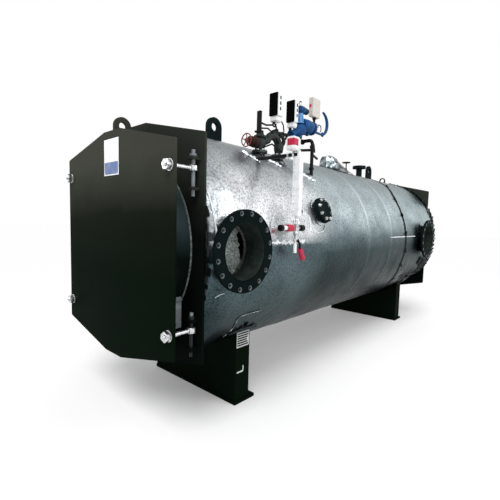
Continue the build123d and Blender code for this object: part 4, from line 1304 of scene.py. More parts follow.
class MakeDoorFittings(BoilerOperator, bpy.types.Operator):
    """The door's bare sign and its bent bracket"""

    bl_idname = "boiler.make_door_fittings"
    bl_label = "Door sign and bracket"

    def build(self, context):
        sign = Form()
        left, right, low, split, high = -114, 104, 1867, 1972, 2134
        face = DOOR_FACE - 1
        sign.block((left, face - 3, low), (right, face, high), 1.0, 0)
        sign.block((left + 8, face - 4.0, split), (right - 8, face - 2.5, high - 8), 0.6, 2)
        sign.block((left + 8, face - 4.0, low + 8), (right - 8, face - 2.5, split - 8), 0.6, 1)
        for x in (left + 16, right - 16):
            for z in (low + 16, high - 16):
                sign.turned(domed(4.2, 5.5, 3, 3), (x, face, z), FRONT, 16, 0)
        sign.piece("Door_sign", ["sign white", "sign blue", "sign white"], "door", "white_enamel", smooth=30)

        bracket = Form()
        x0, y0 = 652, PIN_Y - 85
        z0, z1 = 826, 1064
        thick = 6
        bracket.block((x0, DOOR_FACE + 16, z1 - 62), (x0 + thick, y0 + 52, z1 - 26), 1.5)
        bracket.block((x0, y0 - 2, z0), (x0 + thick, y0 + 52, z1 - 55), 1.5)
        bracket.block((x0 - 16, y0 - 2, z0), (x0 + 2, y0 + 4, z1 - 70), 1.5)
        for z in (z0 + 22, z1 - 30):
            bracket.turned(domed(10, 12, 8, 9), (x0 + thick, y0 + 8, z), SIDE, 6)
        bracket.piece("Door_bracket", ["galvanised"], "door", "zinc_steel", smooth=30)


GAS_BOLT_CIRCLE = 515


class MakeFlangeDetails(BoilerOperator, bpy.types.Operator):
    """Weld beads, sealing faces and the torn fibre in the gas nozzles"""

    bl_idname = "boiler.make_flange_details"
    bl_label = "Gas nozzle details"

    def build(self, context):
        form = Form()
        for y, face in GAS_FACES:
            back = face - GAS_FLANGE_THICKNESS
            self.weld(form, y, back - 3, NECK_RADIUS + 3)
            form.turned([(NECK_RADIUS - 8.5, -3), (NECK_RADIUS - 8.5, 0.8), (NECK_RADIUS - 3, 1.6),
                         (NECK_RADIUS + 2, 0.5)], (face, y, AXIS_Z), SIDE, 96)
        form.piece("Flange_welds", ["flange enamel"], "boiler", "black_enamel", smooth=50)

        # bare metal where the bolt holes were spot-faced
        seats = Form()
        circle = GAS_BOLT_CIRCLE / 2
        for y, face in GAS_FACES:
            for turn in around(16, 0.5):
                middle = (face, y + circle * math.cos(turn), AXIS_Z + circle * math.sin(turn))
                seats.turned([(13.5, -16), (13.5, -1), (14.6, 0.5), (16.5, 0.4)], middle, SIDE, 20)
        seats.piece("Bolt_seats", ["galvanised"], "boiler", "zinc_steel", smooth=40)

        fibre = Form()
        # torn edge of the blanket as seen through the bore, closed along the neck's own wall
        contour = ((-452, 1541), (-510, 1531), (-565, 1504), (-612, 1452), (-636, 1390), (-641, 1330),
                   (-622, 1265), (-585, 1212), (-530, 1178), (-470, 1164), (-410, 1172), (-362, 1186),
                   (-328, 1216), (-306, 1256), (-318, 1300), (-336, 1347), (-330, 1398), (-352, 1446),
                   (-344, 1490), (-372, 1526))
        rows = []
        middle = Vector((-530, 1350))
        for ring in range(9):
            share = ring / 8
            row = []
            for k in range(84):
                place = k / 84 * len(contour)
                a, b = contour[int(place) % len(contour)], contour[(int(place) + 1) % len(contour)]
                mix = place - int(place)
                edge = Vector((a[0] + (b[0] - a[0]) * mix, a[1] + (b[1] - a[1]) * mix))
                flat = middle + (edge - middle) * share
                wool = wander(flat.x * 0.03, flat.y * 0.03, 2.0)
                tuft = wander(flat.x * 0.11, flat.y * 0.11, 5.0)
                x = 800 + 18 * wool + 12 * tuft - 20 * share ** 4
                flat = flat + Vector((tuft, wool)) * 7 * share
                row.append(Vector((x, flat.x, flat.y)))
            rows.append(row)
        fibre.grid(rows, closed=True)
        fibre.piece("Torn_fibre", ["fibre"], "boiler", "ceramic_fibre", smooth=70)

    def weld(self, form, y, x, radius):
        """A run of weld ripples round the neck."""
        rows = []
        for k, turn in enumerate(around(160)):
            swell = 6 + 1.6 * math.sin(k * 2.2) + wander(k * 0.3, y * 0.01, 3.0)
            out = Vector((0, math.cos(turn), math.sin(turn)))
            base = Vector((x, y, AXIS_Z)) + out * radius
            row = []
            for j in range(5):
                bend = math.radians(-90 + 45 * j)
                ahead = Vector((swell * 0.7 * math.sin(bend), 0, 0))
                row.append(base + out * swell * 0.6 * math.cos(bend) + ahead)
            rows.append(row)
        rows.append(rows[0])
        form.grid(rows)


class MakeHandhole(BoilerOperator, bpy.types.Operator):
    """Handhole neck, its two flanges and the bolts round the cover"""

    bl_idname = "boiler.make_handhole"
    bl_label = "Handhole"

    def build(self, context):
        count = settings_of(context, "hardware").handhole_bolts
        along = Vector((math.cos(HANDHOLE_ANGLE), 0, math.sin(HANDHOLE_ANGLE)))
        axis = on_axis(HANDHOLE_Y)
        form = Form()
        shell = SHELL_RADIUS + 2
        back = HANDHOLE_FACE - 44
        form.turned([(80, shell), (80, back - 4), (84, back), (HANDHOLE_RADIUS - 2, back),
                     (HANDHOLE_RADIUS, back + 2), (HANDHOLE_RADIUS, back + 18),
                     (HANDHOLE_RADIUS - 2, back + 20), (98, back + 20), (98, back + 23)], axis, along, 64)
        form.turned([(98, back + 23), (HANDHOLE_RADIUS - 2, back + 23), (HANDHOLE_RADIUS, back + 25),
                     (HANDHOLE_RADIUS, back + 41), (HANDHOLE_RADIUS - 3, back + 44), (74, back + 44),
                     (70, back + 42), (0, back + 42)], axis, along, 8, start=math.pi / 8)
        bolts = Form()
        _, first, second = directions(along)
        for k, turn in enumerate(around(count, 0.5)):
            place = round_point(axis, first, second, turn, 93)
            bolts.stud(place + along * (back + 44), along, 24, 12, 7, 10, start=k * 0.7)
            bolts.hexagon(place + along * back, -along, 24, 12, start=k * 0.4)
        form.piece("Handhole", ["flange enamel"], "boiler", "black_enamel", ["handhole"], smooth=30)
        bolts.piece("Handhole_bolts", ["zinc"], "boiler", "zinc_steel", smooth=30)


class MakeCoverBolts(BoilerOperator, bpy.types.Operator):
    """Bolts round the rear cover, and the gasket in the steam flange's groove"""

    bl_idname = "boiler.make_cover_bolts"
    bl_label = "Rear cover bolts"

    def build(self, context):
        count = settings_of(context, "hardware").cover_bolts
        low, high = corners("rear_cover")
        radius = (high.x - low.x) / 2 - 28
        form = Form()
        for k, turn in enumerate(around(count)):
            place = (radius * math.cos(turn), high.y, AXIS_Z + radius * math.sin(turn))
            form.stud(place, BACK, 30, 15, 9, 9, start=k * 0.5)
        form.piece("Cover_bolts", ["zinc"], "boiler", "zinc_steel", smooth=30)

        groove = Form()
        middle = STEAM_TOP - 20
        groove.turned([(78, -1.6), (101.5, -1.6), (101.5, 1.6), (78, 1.6)], (0, STEAM_Y, middle), UP, 48)
        groove.turned([(44.4, 0), (52, 0), (50, 6), (44.4, 9)], (0, STEAM_Y, JACKET_TOP + 2), UP, 40)
        groove.piece("Steam_gasket", ["pipe"], "boiler", "black_pipe", smooth=30)


class MakeVentValve(BoilerOperator, bpy.types.Operator):
    """Vent valve body and its turning handwheel"""

    bl_idname = "boiler.make_vent_valve"
    bl_label = "Vent valve"

    def build(self, context):
        y = midway("vent_valve", "y")
        foot, top = (end.z for end in corners("vent_valve"))
        low, high = corners("vent_handwheel")
        wheel, radius = low.z, (high.x - low.x) / 2
        form = Form()
        form.turned([(0, 0), (50, 0), (52, 2), (52, 10), (50, 12), (28, 14), (22, 22), (22, 34), (27, 42),
                     (27, 56), (21, 64), (20, 72), (0, 72)], (0, y, foot), UP, 40)
        form.hexagon((0, y, foot + 72), UP, 34, 16)
        form.hexagon((0, y, foot + 92), UP, 26, 14, start=0.4)
        form.turned([(8.6, 60), (8.6, top - foot - 14), (6, top - foot - 12), (6, top - foot),
                     (0, top - foot)], (0, y, foot), UP, 20)
        form.piece("Vent_valve", ["enamel"], "boiler", "black_enamel", ["vent_valve"], smooth=35)

        turning = Form()
        middle = (0, y, wheel + 6)
        turning.ring(middle, UP, radius - 6.5, 6.5)
        turning.turned([(9.2, -6), (14, -6), (16, -4), (16, 4), (14, 6), (9.2, 6)], middle, UP, 32)
        for k in range(6):
            turn = math.radians(60 * k)
            out = Vector((math.cos(turn), math.sin(turn), 0))
            base = Vector(middle)
            turning.pipe([base + out * 14, base + out * 32 + Vector((0, 0, -2)), base + out * (radius - 8)],
                         [4.5, 4.0, 4.5], 10)
        turning.piece("Vent_wheel", ["enamel"], "vent_wheel", "black_enamel", ["vent_handwheel"], smooth=40)


GAUGE_X = midway("level_gauge", "x")
GAUGE_Y = midway("level_gauge", "y")
GAUGE_TOP = corner("level_gauge", 1).z - 40
GAUGE_LOW = corner("level_gauge", 0).z + 20
LEVEL_PIPE_RADIUS = 14
COCK_Z = corner("level_pipes", 0).z + LEVEL_PIPE_RADIUS
LEVEL_HIGH = corner("level_pipes", 1).z - LEVEL_PIPE_RADIUS


class MakeLevelGauge(BoilerOperator, bpy.types.Operator):
    """Level gauge: white column, head box, cocks with their handles and the drain"""

    bl_idname = "boiler.make_level_gauge"
    bl_label = "Level gauge"

    def build(self, context):
        x, y = GAUGE_X, GAUGE_Y
        column = Form()
        column.block((x - 30, y - 34, GAUGE_LOW), (x + 34, y + 12, GAUGE_TOP), 3.0)
        column.block((x - 22, y + 12, GAUGE_LOW + 6), (x + 22, y + 34, GAUGE_TOP - 6), 3.0)
        column.turned([(0, 0), (14, 0), (14, 50), (0, 50)], (x, y, GAUGE_TOP), UP, 28)
        column.turned([(0, 0), (16, 0), (16, 20), (0, 20)], (x, y, GAUGE_LOW - 20), UP, 28)
        for k in range(7):
            z = GAUGE_LOW + 45 + (GAUGE_TOP - GAUGE_LOW - 90) * k / 6
            column.turned(domed(7, 9, 5, 6), (x - 10, y - 34, z), FRONT, 12)
            column.turned(domed(6, 7, 4, 4), (x - 22, y + 24, z + 30), (-1, 0, 0), 12)
        column.piece("Level_column", ["white"], "boiler", "white_enamel", ["level_gauge"], smooth=35)

        low, high = corners("gauge_head")
        head = Form()
        low, high = low + Vector((3, 3, 6)), high - Vector((3, 3, 6))
        head.block(low, high - Vector((0, 0, 8)), 6.0, 0, 3)
        head.block((low.x + 6, low.y + 6, high.z - 12), (high.x - 6, high.y - 6, high.z), 4.0, 0, 3)
        label_low, label_high = low.z + 32, high.z - 18
        head.block((low.x + 14, low.y - 0.9, label_low), (high.x - 1, low.y + 3, label_high), 0.4, 1)
        head.block((high.x - 3, low.y + 1, label_low), (high.x + 0.9, low.y + 56, label_high), 0.4, 1)
        for along in (18, 76):
            head.turned(domed(6.5, 5, 5, 3), (high.x, low.y + along, low.z + 16), SIDE, 12)
        head.turned(domed(13, 16, 10, 12), (x, low.y, low.z + 14), FRONT, 18, 0)
        head.piece("Gauge_head", ["white housing", "label red"], "boiler", "white_enamel",
                   ["gauge_head"], smooth=35)

        cock = Form()
        z = COCK_Z
        top = corner("gauge_cock", 1).z
        bottom = z - 105
        chrome, red, black, white = 0, 1, 2, 3
        cock.turned([(0, top - z), (20, top - z), (24, top - z - 8), (24, 50), (30, 40), (30, 30), (20, 26),
                     (20, -26), (28, -30), (28, -44), (18, -50), (14, -70), (14, bottom - z),
                     (0, bottom - z)], (x, y, z), UP, 32, chrome)
        cock.hexagon((x, y, z + 42), UP, 52, 16, chrome)
        cock.hexagon((x, y, z - 60), UP, 42, 16, chrome)
        cock.turned([(24, -134), (27, -129), (27, -60), (0, -60)], (x, y, z), BACK, 30, red)
        cock.turned([(0, 0), (21, 0), (24, 4), (24, 30), (21, 34), (13, 36), (0, 36)], (x, y - 212, z),
                    BACK, 28, black)
        cock.turned([(18, 0), (18, 48)], (x, y - 177, z), BACK, 20, white)
        cock.turned([(11, 0), (11, 60), (16, 62), (16, 70), (11, 72)], (x, y, z), BACK, 20, chrome)
        cock.turned([(13, 0), (22, 2), (24, 8), (24, 44), (21, 50), (0, 50)], (x, y + 46, z),
                    BACK, 28, black)
        self.lever(cock, Vector((x + 22, y - 10, z - 92)), Vector((x + 8, y + 95, z - 250)), black, red)
        cock.piece("Gauge_cock", ["zinc", "label red", "pipe", "white"], "boiler",
                   "black_pipe", ["gauge_cock"], smooth=35)

        drain = Form()
        drain.turned([(0, 0), (13, 0), (13, 84), (15, 86), (15, 96), (0, 98)],
                     (x, y - 8, z - 192), UP, 24, 1)
        drain.turned([(18, 0), (18, 22), (14, 26)], (x, y - 8, z - 108), UP, 20, 0)
        for side_z in (z, LEVEL_HIGH):
            drain.turned([(14.4, -8), (26, -8), (26, 2), (20, 4), (14.4, 4)],
                         (FOIL_RADIUS - 14, y, side_z), SIDE, 28)
            drain.hexagon((FOIL_RADIUS + 22, y, side_z), SIDE, 40, 18)
        drain.piece("Gauge_fittings", ["zinc", "white"], "boiler", "zinc_steel", smooth=35)

        loose = Form()
        for z0, out in ((1880, 40), (1760, 32), (1640, 46)):
            start = Vector((x - 6, y + 30, z0))
            end = Vector((x - 40, y + 30 + out * 2.2, z0 - 10))
            loose.pipe([start, start + Vector((0, out, 6)), end + Vector((4, -8, 22)), end], 4.5, 10)
            loose.pipe([start + Vector((0, -2, -46)), start + Vector((-4, out * 1.3, -46))], 6, 12, 1)
        loose.piece("Gauge_wires", ["pipe", "white"], "boiler", "black_pipe", smooth=40)

    def lever(self, form, start, end, black, red):
        """The drain cock's black lever with its red grip."""
        way = end - start
        knee = start + way * 0.42
        form.pipe([start, start + way * 0.2 + Vector((10, 0, 6)), knee], [11, 9, 9], 12, black)
        form.pipe([knee, knee + way * 0.12, end - way * 0.08, end], [14, 20, 21, 15], 18, red)


class MakeFeedValve(BoilerOperator, bpy.types.Operator):
    """Feed valve castings, elbow, post and the turning handwheel"""

    bl_idname = "boiler.make_feed_valve"
    bl_label = "Feed valve"

    def build(self, context):
        x = TRIM_X
        stem_z = midway("feed_handwheel", "z")
        first, second = STUB_1_Y, STUB_2_Y
        foot = AXIS_Z + math.sqrt(SHELL_RADIUS ** 2 - TRIM_X ** 2) - 6
        # top of the flanges that carry the castings
        deck = stem_z - 60
        form = Form()
        for y in (first, second):
            form.turned([(38, 0), (38, deck - foot - 24), (66, deck - foot - 24), (68, deck - foot - 22),
                         (68, deck - foot - 4), (66, deck - foot - 2), (44, deck - foot)],
                        (x, y, foot), UP, 40)
            for k, turn in enumerate(around(8, 0.5)):
                place = (x + 55 * math.cos(turn), y + 55 * math.sin(turn), deck - 2)
                form.hexagon(place, UP, 19, 9, 1, k * 0.6)
        form.turned([(40, 0), (42, 20), (50, 44), (50, 72), (46, 96), (34, 100), (34, 108), (54, 112),
                     (54, 126), (36, 130), (32, 152), (24, 166), (0, 168)], (x, first, deck), UP, 36)
        form.turned([(36, 0), (38, 24), (44, 52), (46, 80), (42, 110), (26, 124), (0, 126)],
                    (x, second, deck), UP, 36)
        # the bend between the castings rises to its crown and comes down to a flange that faces the valve
        bow = [Vector((x, first + 34, stem_z + 16))]
        bow += arc((x, second - 90, stem_z + 14), FRONT, UP, 84, 25, 155, 12)
        form.pipe(bow, [34] + [38 - 4 * abs(i - 6) / 6 for i in range(13)], 26)
        flange_y, flange_z = second + 2, stem_z + 70
        form.turned([(44, -18), (44, 0), (58, 2), (60, 4), (60, 10), (52, 11), (52, 13), (60, 14), (60, 22),
                     (58, 24), (30, 24), (26, 46)], (x, flange_y, flange_z), (0, 0.96, 0.28), 36)
        for k in range(6):
            turn = math.pi / 6 + k * math.pi / 3
            place = (x + 48 * math.cos(turn), flange_y + 20, flange_z + 6 + 48 * math.sin(turn))
            form.hexagon(place, (0, 0.96, 0.28), 17, 10, 1, k * 0.5)
        yoke = [(46, 0), (48, -10), (46, -30), (34, -40), (34, -52), (44, -58), (42, -72), (24, -80),
                (15, -80), (15, -2)]
        form.turned(yoke, (x, first - 60, stem_z), BACK, 32, 2)
        form.piece("Feed_valve", ["casting", "zinc", "rusty"], "boiler", "cast_grey",
                   ["feed_valve"], smooth=38)

        post = Form()
        post_y = first - 15
        post.block((x - 21, post_y - 12, stem_z + 96), (x + 21, post_y + 12, corner("feed_valve", 1).z), 3.0)
        post.block((x - 34, post_y - 25, stem_z + 92), (x + 34, post_y + 25, stem_z + 108), 3.0)
        post.pipe([(x + 10, post_y + 10, stem_z + 176), (x + 16, post_y + 75, stem_z + 168),
                   (x + 20, post_y + 155, stem_z + 185)], 8, 12)
        post.pipe([(x + 14, post_y + 8, stem_z + 128), (x + 24, post_y + 90, stem_z + 142),
                   (x + 28, post_y + 180, stem_z + 104), (x + 24, post_y + 262, stem_z + 34)], 7, 12)
        post.pipe([(x + 52, first, stem_z - 34), (x + 64, first + 90, stem_z + 4),
                   (x + 60, first + 190, stem_z - 22), (x + 44, second, stem_z - 30)], 7, 12)
        post.piece("Trim_post", ["pipe"], "boiler", "black_pipe", smooth=38)

        wheel = Form()
        low, high = corners("feed_handwheel")
        middle = Vector((x, low.y + 4.5, stem_z))
        radius = (high.x - low.x) / 2
        wheel.ring(middle, FRONT, radius - 5, 5)
        wheel.turned([(0, 8), (12, 8), (16, 4), (16, -8), (8.5, -12), (8.5, -108), (0, -108)],
                     middle, FRONT, 28)
        for k in range(5):
            turn = 2 * math.pi * k / 5 + 0.3
            out = Vector((math.cos(turn), 0, math.sin(turn)))
            wheel.pipe([middle + out * 12, middle + out * 30 + Vector((0, 4, 0)),
                        middle + out * (radius - 6)], [5, 4, 4.5], 10)
        wheel.piece("Feed_wheel", ["wheel red"], "feed_wheel", "wheel_red", ["feed_handwheel"], smooth=40)


STANDPIPE_X = corner("trim_header", 1).x - 20
HEADER_END = corner("trim_header", 1).y


class MakeTrimHeader(BoilerOperator, bpy.types.Operator):
    """Header pipe, standpipe and the pipes that join them"""

    bl_idname = "boiler.make_trim_header"
    bl_label = "Trim header"

    def build(self, context):
        x = TRIM_X
        middle = HEADER_TOP - 25
        form = Form()
        start = corner("trim_header", 0).y + 3
        form.pipe([(x, start, middle), (x, HEADER_END - 12, middle)], 24, 28)
        form.turned([(24, 0), (26, 2), (26, 12), (18, 22), (0, 24)], (x, HEADER_END - 14, middle), BACK, 28)
        for y in (start + 125, 560, 690):
            form.turned(sleeve(24, 30, 22), (x, y, middle), BACK, 28)
        foot = AXIS_Z + math.sqrt(SHELL_RADIUS ** 2 - STANDPIPE_X ** 2) - 8
        stand_y = HEADER_END - 26
        bend = arc((STANDPIPE_X - 40, stand_y, middle - 40), SIDE, UP, 40, 0, 90, 8)
        form.pipe([(STANDPIPE_X, stand_y, foot)] + bend + [(x, stand_y, middle)], 17, 22)
        for z in (foot + 190, middle - 80):
            form.turned(sleeve(17, 24, 28), (STANDPIPE_X, stand_y, z), UP, 24)
        low = middle - 96
        form.pipe([(STANDPIPE_X, stand_y, low), (STANDPIPE_X - 90, stand_y + 130, low - 6),
                   (STANDPIPE_X - 200, stand_y + 420, low - 4)], 13, 18)
        form.pipe([(STANDPIPE_X - 8, stand_y, middle - 30), (STANDPIPE_X - 30, stand_y + 70, middle - 28),
                   (STANDPIPE_X - 46, stand_y + 110, middle - 70), (STANDPIPE_X - 50, stand_y + 120, low)],
                  11, 16)
        form.pipe([(x, 660, middle), (x, 660, middle - 95), (x, 700, middle - 110),
                   (STANDPIPE_X, stand_y, low)], 13, 16)
        form.piece("Trim_header", ["pipe"], "boiler", "black_pipe", ["trim_header"], smooth=40)


class MakePressureSwitches(BoilerOperator, bpy.types.Operator):
    """Two pressure switches on their siphons"""

    bl_idname = "boiler.make_pressure_switches"
    bl_label = "Pressure switches"

    def build(self, context):
        low, high = corners("pressure_switches")
        form = Form()
        tubes = Form()
        black, white, dark = 0, 1, 2
        for front, depth in ((low.y, 90.0), (high.y - 70.0, 70.0)):
            form.block((low.x, front + 14, low.z), (high.x, front + depth, high.z), 4.0, white, 3)
            form.block((low.x - 2, front, low.z + 2), (high.x - 3, front + 18, high.z + 1), 5.0, black, 3)
            for k in range(3):
                z = low.z + 50 + 48 * k
                form.block((high.x - 0.5, front + 40, z), (high.x + 0.8, front + 58, z + 30), 0.4, dark)
            y = front + depth / 2
            form.block((low.x + 4, front + 8, low.z - 50),
                       (high.x - 4, front + depth - 4, low.z - 2), 9.0, white, 3)
            foot = low.z - 52
            lift = HEADER_TOP - 3
            loop = [(TRIM_X, y, foot + 2), (TRIM_X, y, foot - 16)]
            loop += arc((TRIM_X, y - 20, foot - 20), BACK, UP, 20, 0, -250, 10)
            loop += [(TRIM_X + 2, y + 4, foot - 34), (TRIM_X, y + 12, lift + 20), (TRIM_X, y + 12, lift)]
            tubes.pipe(loop, 7.5, 14)
            tubes.hexagon((TRIM_X, y, foot - 14), UP, 26, 14, 1)
            tubes.turned([(7, 0), (20, 0), (20, 14), (12, 18)], (TRIM_X, y + 12, lift), UP, 20)
            wire = [(TRIM_X + 20, y + 20, low.z + 4), (TRIM_X + 26, y + 40, low.z - 24),
                    (TRIM_X + 20, y + 90, low.z - 60), (TRIM_X + 6, y + 120, lift + 10)]
            tubes.pipe(wire, 6, 12)
        form.piece("Pressure_switches", ["black housing", "white housing", "pipe"], "boiler",
                   "switch_black", ["pressure_switches"], smooth=35)
        tubes.piece("Switch_siphons", ["pipe", "zinc"], "boiler", "zinc_steel", ["switch_siphons"],
                    smooth=40)


class MakeSafetyValve(BoilerOperator, bpy.types.Operator):
    """Blue safety valve: flanged inlet, lying body, bonnet, top and its curved lever"""

    bl_idname = "boiler.make_safety_valve"
    bl_label = "Safety valve"

    def build(self, context):
        x, z = TRIM_X, VALVE_Z
        low, high = corners("safety_valve")
        blue, pale, black, bright = 0, 1, 2, 3
        form = Form()
        front = low.y
        # inlet nose, rising from the header's pipe to the lying body
        rise = (0, 0.90, 0.44)
        nose = Vector((x, front - 62, z - 96))
        form.turned([(0, 0), (38, 0), (40, 3), (40, 18), (36, 22), (38, 60), (48, 100), (58, 150), (62, 190),
                     (50, 215), (0, 222)], nose, rise, 40, blue)
        form.turned([(0, 0), (54, 4), (66, 30), (70, 90), (66, 150), (56, 168), (56, 176), (68, 180),
                     (68, 198), (56, 202), (46, 222), (46, 236), (36, 248), (0, 250)],
                    (x, front + 112, z + 32), BACK, 44, blue)
        for k, turn in enumerate(around(8, 0.5)):
            place = Vector((x + 58 * math.cos(turn), front + 310, z + 32 + 58 * math.sin(turn)))
            form.hexagon(place, BACK, 18, 9, bright, k * 0.6)
        neck_y = front + 98
        form.turned([(34, 0), (34, 60), (48, 64), (48, 80), (34, 84)], (x, neck_y - 20, HEADER_TOP), UP, 30,
                    blue)
        bonnet_top = high.z - 76
        form.turned([(40, 40), (34, 56), (27, 66), (26, bonnet_top - z), (0, bonnet_top - z)],
                    (x, neck_y, z), UP, 32, pale)
        for k in range(6):
            turn = math.radians(60 * k)
            out = Vector((math.cos(turn), math.sin(turn), 0))
            form.pipe([Vector((x, neck_y, z + 60)) + out * 34, Vector((x, neck_y, z + 112)) + out * 27], 5,
                      8, pale)
        top_z = high.z - 38
        form.turned([(0, -34), (26, -34), (34, -24), (38, -6), (38, 30), (30, 44), (34, 48), (34, 66),
                     (26, 72), (0, 72)], (x, neck_y, top_z), BACK, 32, blue)
        form.turned([(0, 0), (27, 0), (30, 4), (30, 34), (26, 40), (0, 40)], (x, neck_y + 70, top_z),
                    BACK, 28, black)
        form.turned([(0, 0), (13, 0), (13, 20), (9, 28), (9, 44), (0, 46)], (x, neck_y - 10, top_z + 28), UP,
                    20, bright)
        form.pipe([(x, neck_y - 20, top_z + 52), (x, neck_y - 46, top_z + 60), (x, neck_y - 60, top_z + 48)],
                  6, 12, bright)
        form.hexagon((x, neck_y - 10, top_z + 64), UP, 20, 12, black)
        for k in range(3):
            y = front + 104 + 48 * k
            form.turned([(0, 0), (15, 0), (17, -3), (17, -22), (0, -24)], (x, y + 24, z - 32), UP, 18, blue)
        form.piece("Safety_valve", ["blue", "pale blue", "pipe", "zinc"], "boiler",
                   "valve_blue", ["safety_valve"], smooth=38)

        lever = Form()
        low, high = corners("safety_lever")
        radius = (high.z - low.z) / 2
        centre = Vector((x, high.y - radius, (low.z + high.z) / 2))
        line = [Vector((x, corner("safety_valve", 1).y - 6, low.z + 12))]
        line += arc(centre, BACK, UP, radius - 9, -86, 78, 20)
        sizes = [14] + [11 + 6 * math.sin(math.pi * i / 20) for i in range(21)]
        lever.pipe(line, sizes, 18)
        lever.ring((x, high.y - 100, low.z + 14), SIDE, 19, 7, sides=28)
        lever.piece("Safety_lever", ["blue"], "boiler", "valve_blue", ["safety_lever"], smooth=50)


class MakeJunctionBox(BoilerOperator, bpy.types.Operator):
    """Beige junction box over the brass coupling"""

    bl_idname = "boiler.make_junction_box"
    bl_label = "Junction box and coupling"

    def build(self, context):
        low, high = corners("brass_coupling")
        x, z = TRIM_X, (low.z + high.z) / 2
        length = high.y - low.y
        form = Form()
        form.turned([(0, 0), (22, 0), (22, 16), (30, 18), (30, 44), (26, 46), (26, 54), (30, 56), (30, 80),
                     (20, 82), (20, length), (0, length)], (x, low.y, z), BACK, 36)
        form.hexagon((x, low.y + 16, z), BACK, 62, 30, 0, 0.2)
        form.hexagon((x, low.y + 58, z), BACK, 56, 24, 0, 0.5)
        fork = [(x, high.y - 4, z), (x, high.y + 30, z + 4)]
        form.pipe(fork, 8, 12, 1)
        bow = arc((x, high.y + 58, z - 6), BACK, UP, 36, 160, -60, 12)
        form.pipe(bow, 5, 10, 1)
        form.piece("Brass_coupling", ["brass", "pipe"], "boiler", "brass", ["brass_coupling"], smooth=38)

        low, high = corners("junction_box")
        box = Form()
        base = high.z - 190
        box.block((low.x, low.y, base), (high.x - 12, high.y, high.z), 5.0, 0, 3)
        box.block((high.x - 14, low.y + 2, base + 2), (high.x, high.y - 2, high.z - 2), 4.0, 0, 3)
        box.block((low.x + 8, low.y - 0.8, base + 88), (high.x - 18, low.y + 2, base + 120), 0.4, 1)
        for dy in (14, high.y - low.y - 14):
            for dz in (14, 176):
                box.turned(domed(5.5, 3, 4, 1.5), (high.x, low.y + dy, base + dz), SIDE, 12)
        middle = (low.y + high.y) / 2
        box.turned([(0, 2), (16, 2), (20, -3), (20, -16), (13, -20), (12, -70), (0, -70)], (x, middle, base),
                   UP, 24, 2)
        box.piece("Junction_box", ["beige", "label red", "pipe"], "boiler", "box_beige",
                  ["junction_box"], smooth=35)


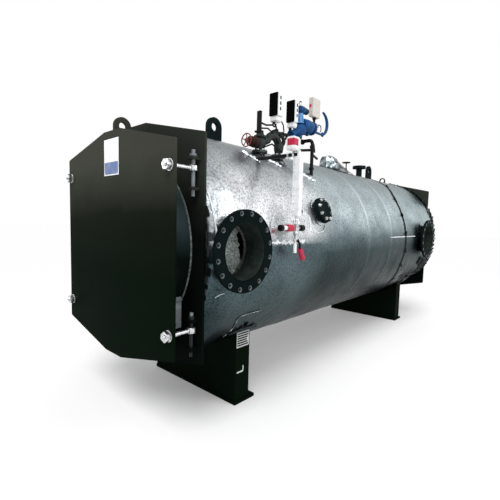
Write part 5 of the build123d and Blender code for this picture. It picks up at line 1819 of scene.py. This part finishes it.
class MakeSaddleTrim(BoilerOperator, bpy.types.Operator):
    """Welds on the saddles, the bare data plate with its ruled rows, and a chalk tick"""

    bl_idname = "boiler.make_saddle_trim"
    bl_label = "Saddle trim"

    def build(self, context):
        welds = Form()
        for node_name in ("front_saddle", "rear_saddle"):
            middle = saddle_middle(node_name)
            top = 28
            for side in (-1, 1):
                x = side * (SADDLE_WIDTH + 3)
                self.bead(welds, *(Vector((x, middle + way * SADDLE_DEPTH, top)) for way in (-1, 1)))
            for side in (-1, 1):
                y = middle + side * SADDLE_DEPTH + side * 3
                self.bead(welds, *(Vector((way * SADDLE_WIDTH, y, top)) for way in (-1, 1)))
        welds.piece("Saddle_welds", ["enamel"], "boiler", "black_enamel", smooth=60)

        plate = Form()
        middle = saddle_middle("front_saddle")
        x = SADDLE_WIDTH
        low_y, high_y = middle - 76, middle + 76
        low_z, high_z = 490, 622
        plate.block((x, low_y, low_z), (x + 2.5, high_y, high_z), 0.8, 0)
        for k in range(6):
            z = high_z - 8 - k * 20
            reach = high_y - 6 - 46 * abs(wander(k * 3.1, 1.0, 7.0))
            plate.block((x + 1.5, low_y + 6, z - 12), (x + 3.2, reach, z), 0.4, 1)
        # chalk tick under the plate
        for low_y, high_y, low_z, high_z in ((-66, 12, 268, 282), (4, 16, 280, 322)):
            plate.block((x, middle + low_y, low_z), (x + 0.8, middle + high_y, high_z), 0.3, 0)
        plate.piece("Data_plate", ["data plate", "black housing"], "boiler", "white_enamel", smooth=30)

    def bead(self, form, start, end):
        """A fillet weld with ripples."""
        along = end - start
        count = max(4, round(along.length / 9))
        side = along.normalized().cross(UP)
        rows = []
        for i in range(count + 1):
            base = start + along * (i / count)
            swell = 6 + 1.2 * math.sin(i * 1.9) + noise.noise(base * 0.01)
            rows.append([base + side * swell * math.cos(turn) + Vector((0, 0, swell * math.sin(turn)))
                         for turn in around(8)])
        form.grid(rows, closed=True)


OPERATORS = (
    MakeStage, PaintPlates, MakeFoilJacket, MakeFoilTape, MakeFoilCollars, MakeFoilCowl,
    MakeBand, MakeTieBolts,
    MakeDoorFittings, MakeFlangeDetails, MakeHandhole, MakeCoverBolts, MakeVentValve,
    MakeLevelGauge, MakeFeedValve,
    MakeTrimHeader, MakePressureSwitches, MakeSafetyValve, MakeJunctionBox, MakeSaddleTrim,
)


class BoilerPanel(bpy.types.Panel):
    """Lists the boiler's operators and settings"""

    bl_idname = "VIEW3D_PT_boiler"
    bl_label = "Boiler"
    bl_space_type = "VIEW_3D"
    bl_region_type = "UI"
    bl_category = "Boiler"

    def draw(self, context):
        layout = self.layout
        for group in SETTINGS:
            chosen = settings_of(context, group)
            box = layout.box()
            for key in chosen.__annotations__:
                box.prop(chosen, key)
        for operator in OPERATORS:
            layout.operator(operator.bl_idname)


SETTINGS = {"foil": FoilSettings, "hardware": HardwareSettings, "stage": StageSettings}


def register():
    """Makes the settings, operators and panel known to the program."""
    for kind in (*SETTINGS.values(), *OPERATORS, BoilerPanel):
        bpy.utils.register_class(kind)
    for name, kind in SETTINGS.items():
        setattr(bpy.types.Scene, "boiler_" + name, PointerProperty(type=kind))


def unregister():
    """Takes them away again."""
    for name in SETTINGS:
        delattr(bpy.types.Scene, "boiler_" + name)
    for kind in reversed((*SETTINGS.values(), *OPERATORS, BoilerPanel)):
        bpy.utils.unregister_class(kind)


def main():
    """Makes every piece."""
    register()
    for operator in OPERATORS:
        group, action = operator.bl_idname.split(".")
        getattr(getattr(bpy.ops, group), action)()


if __name__ == "__main__":
    main()
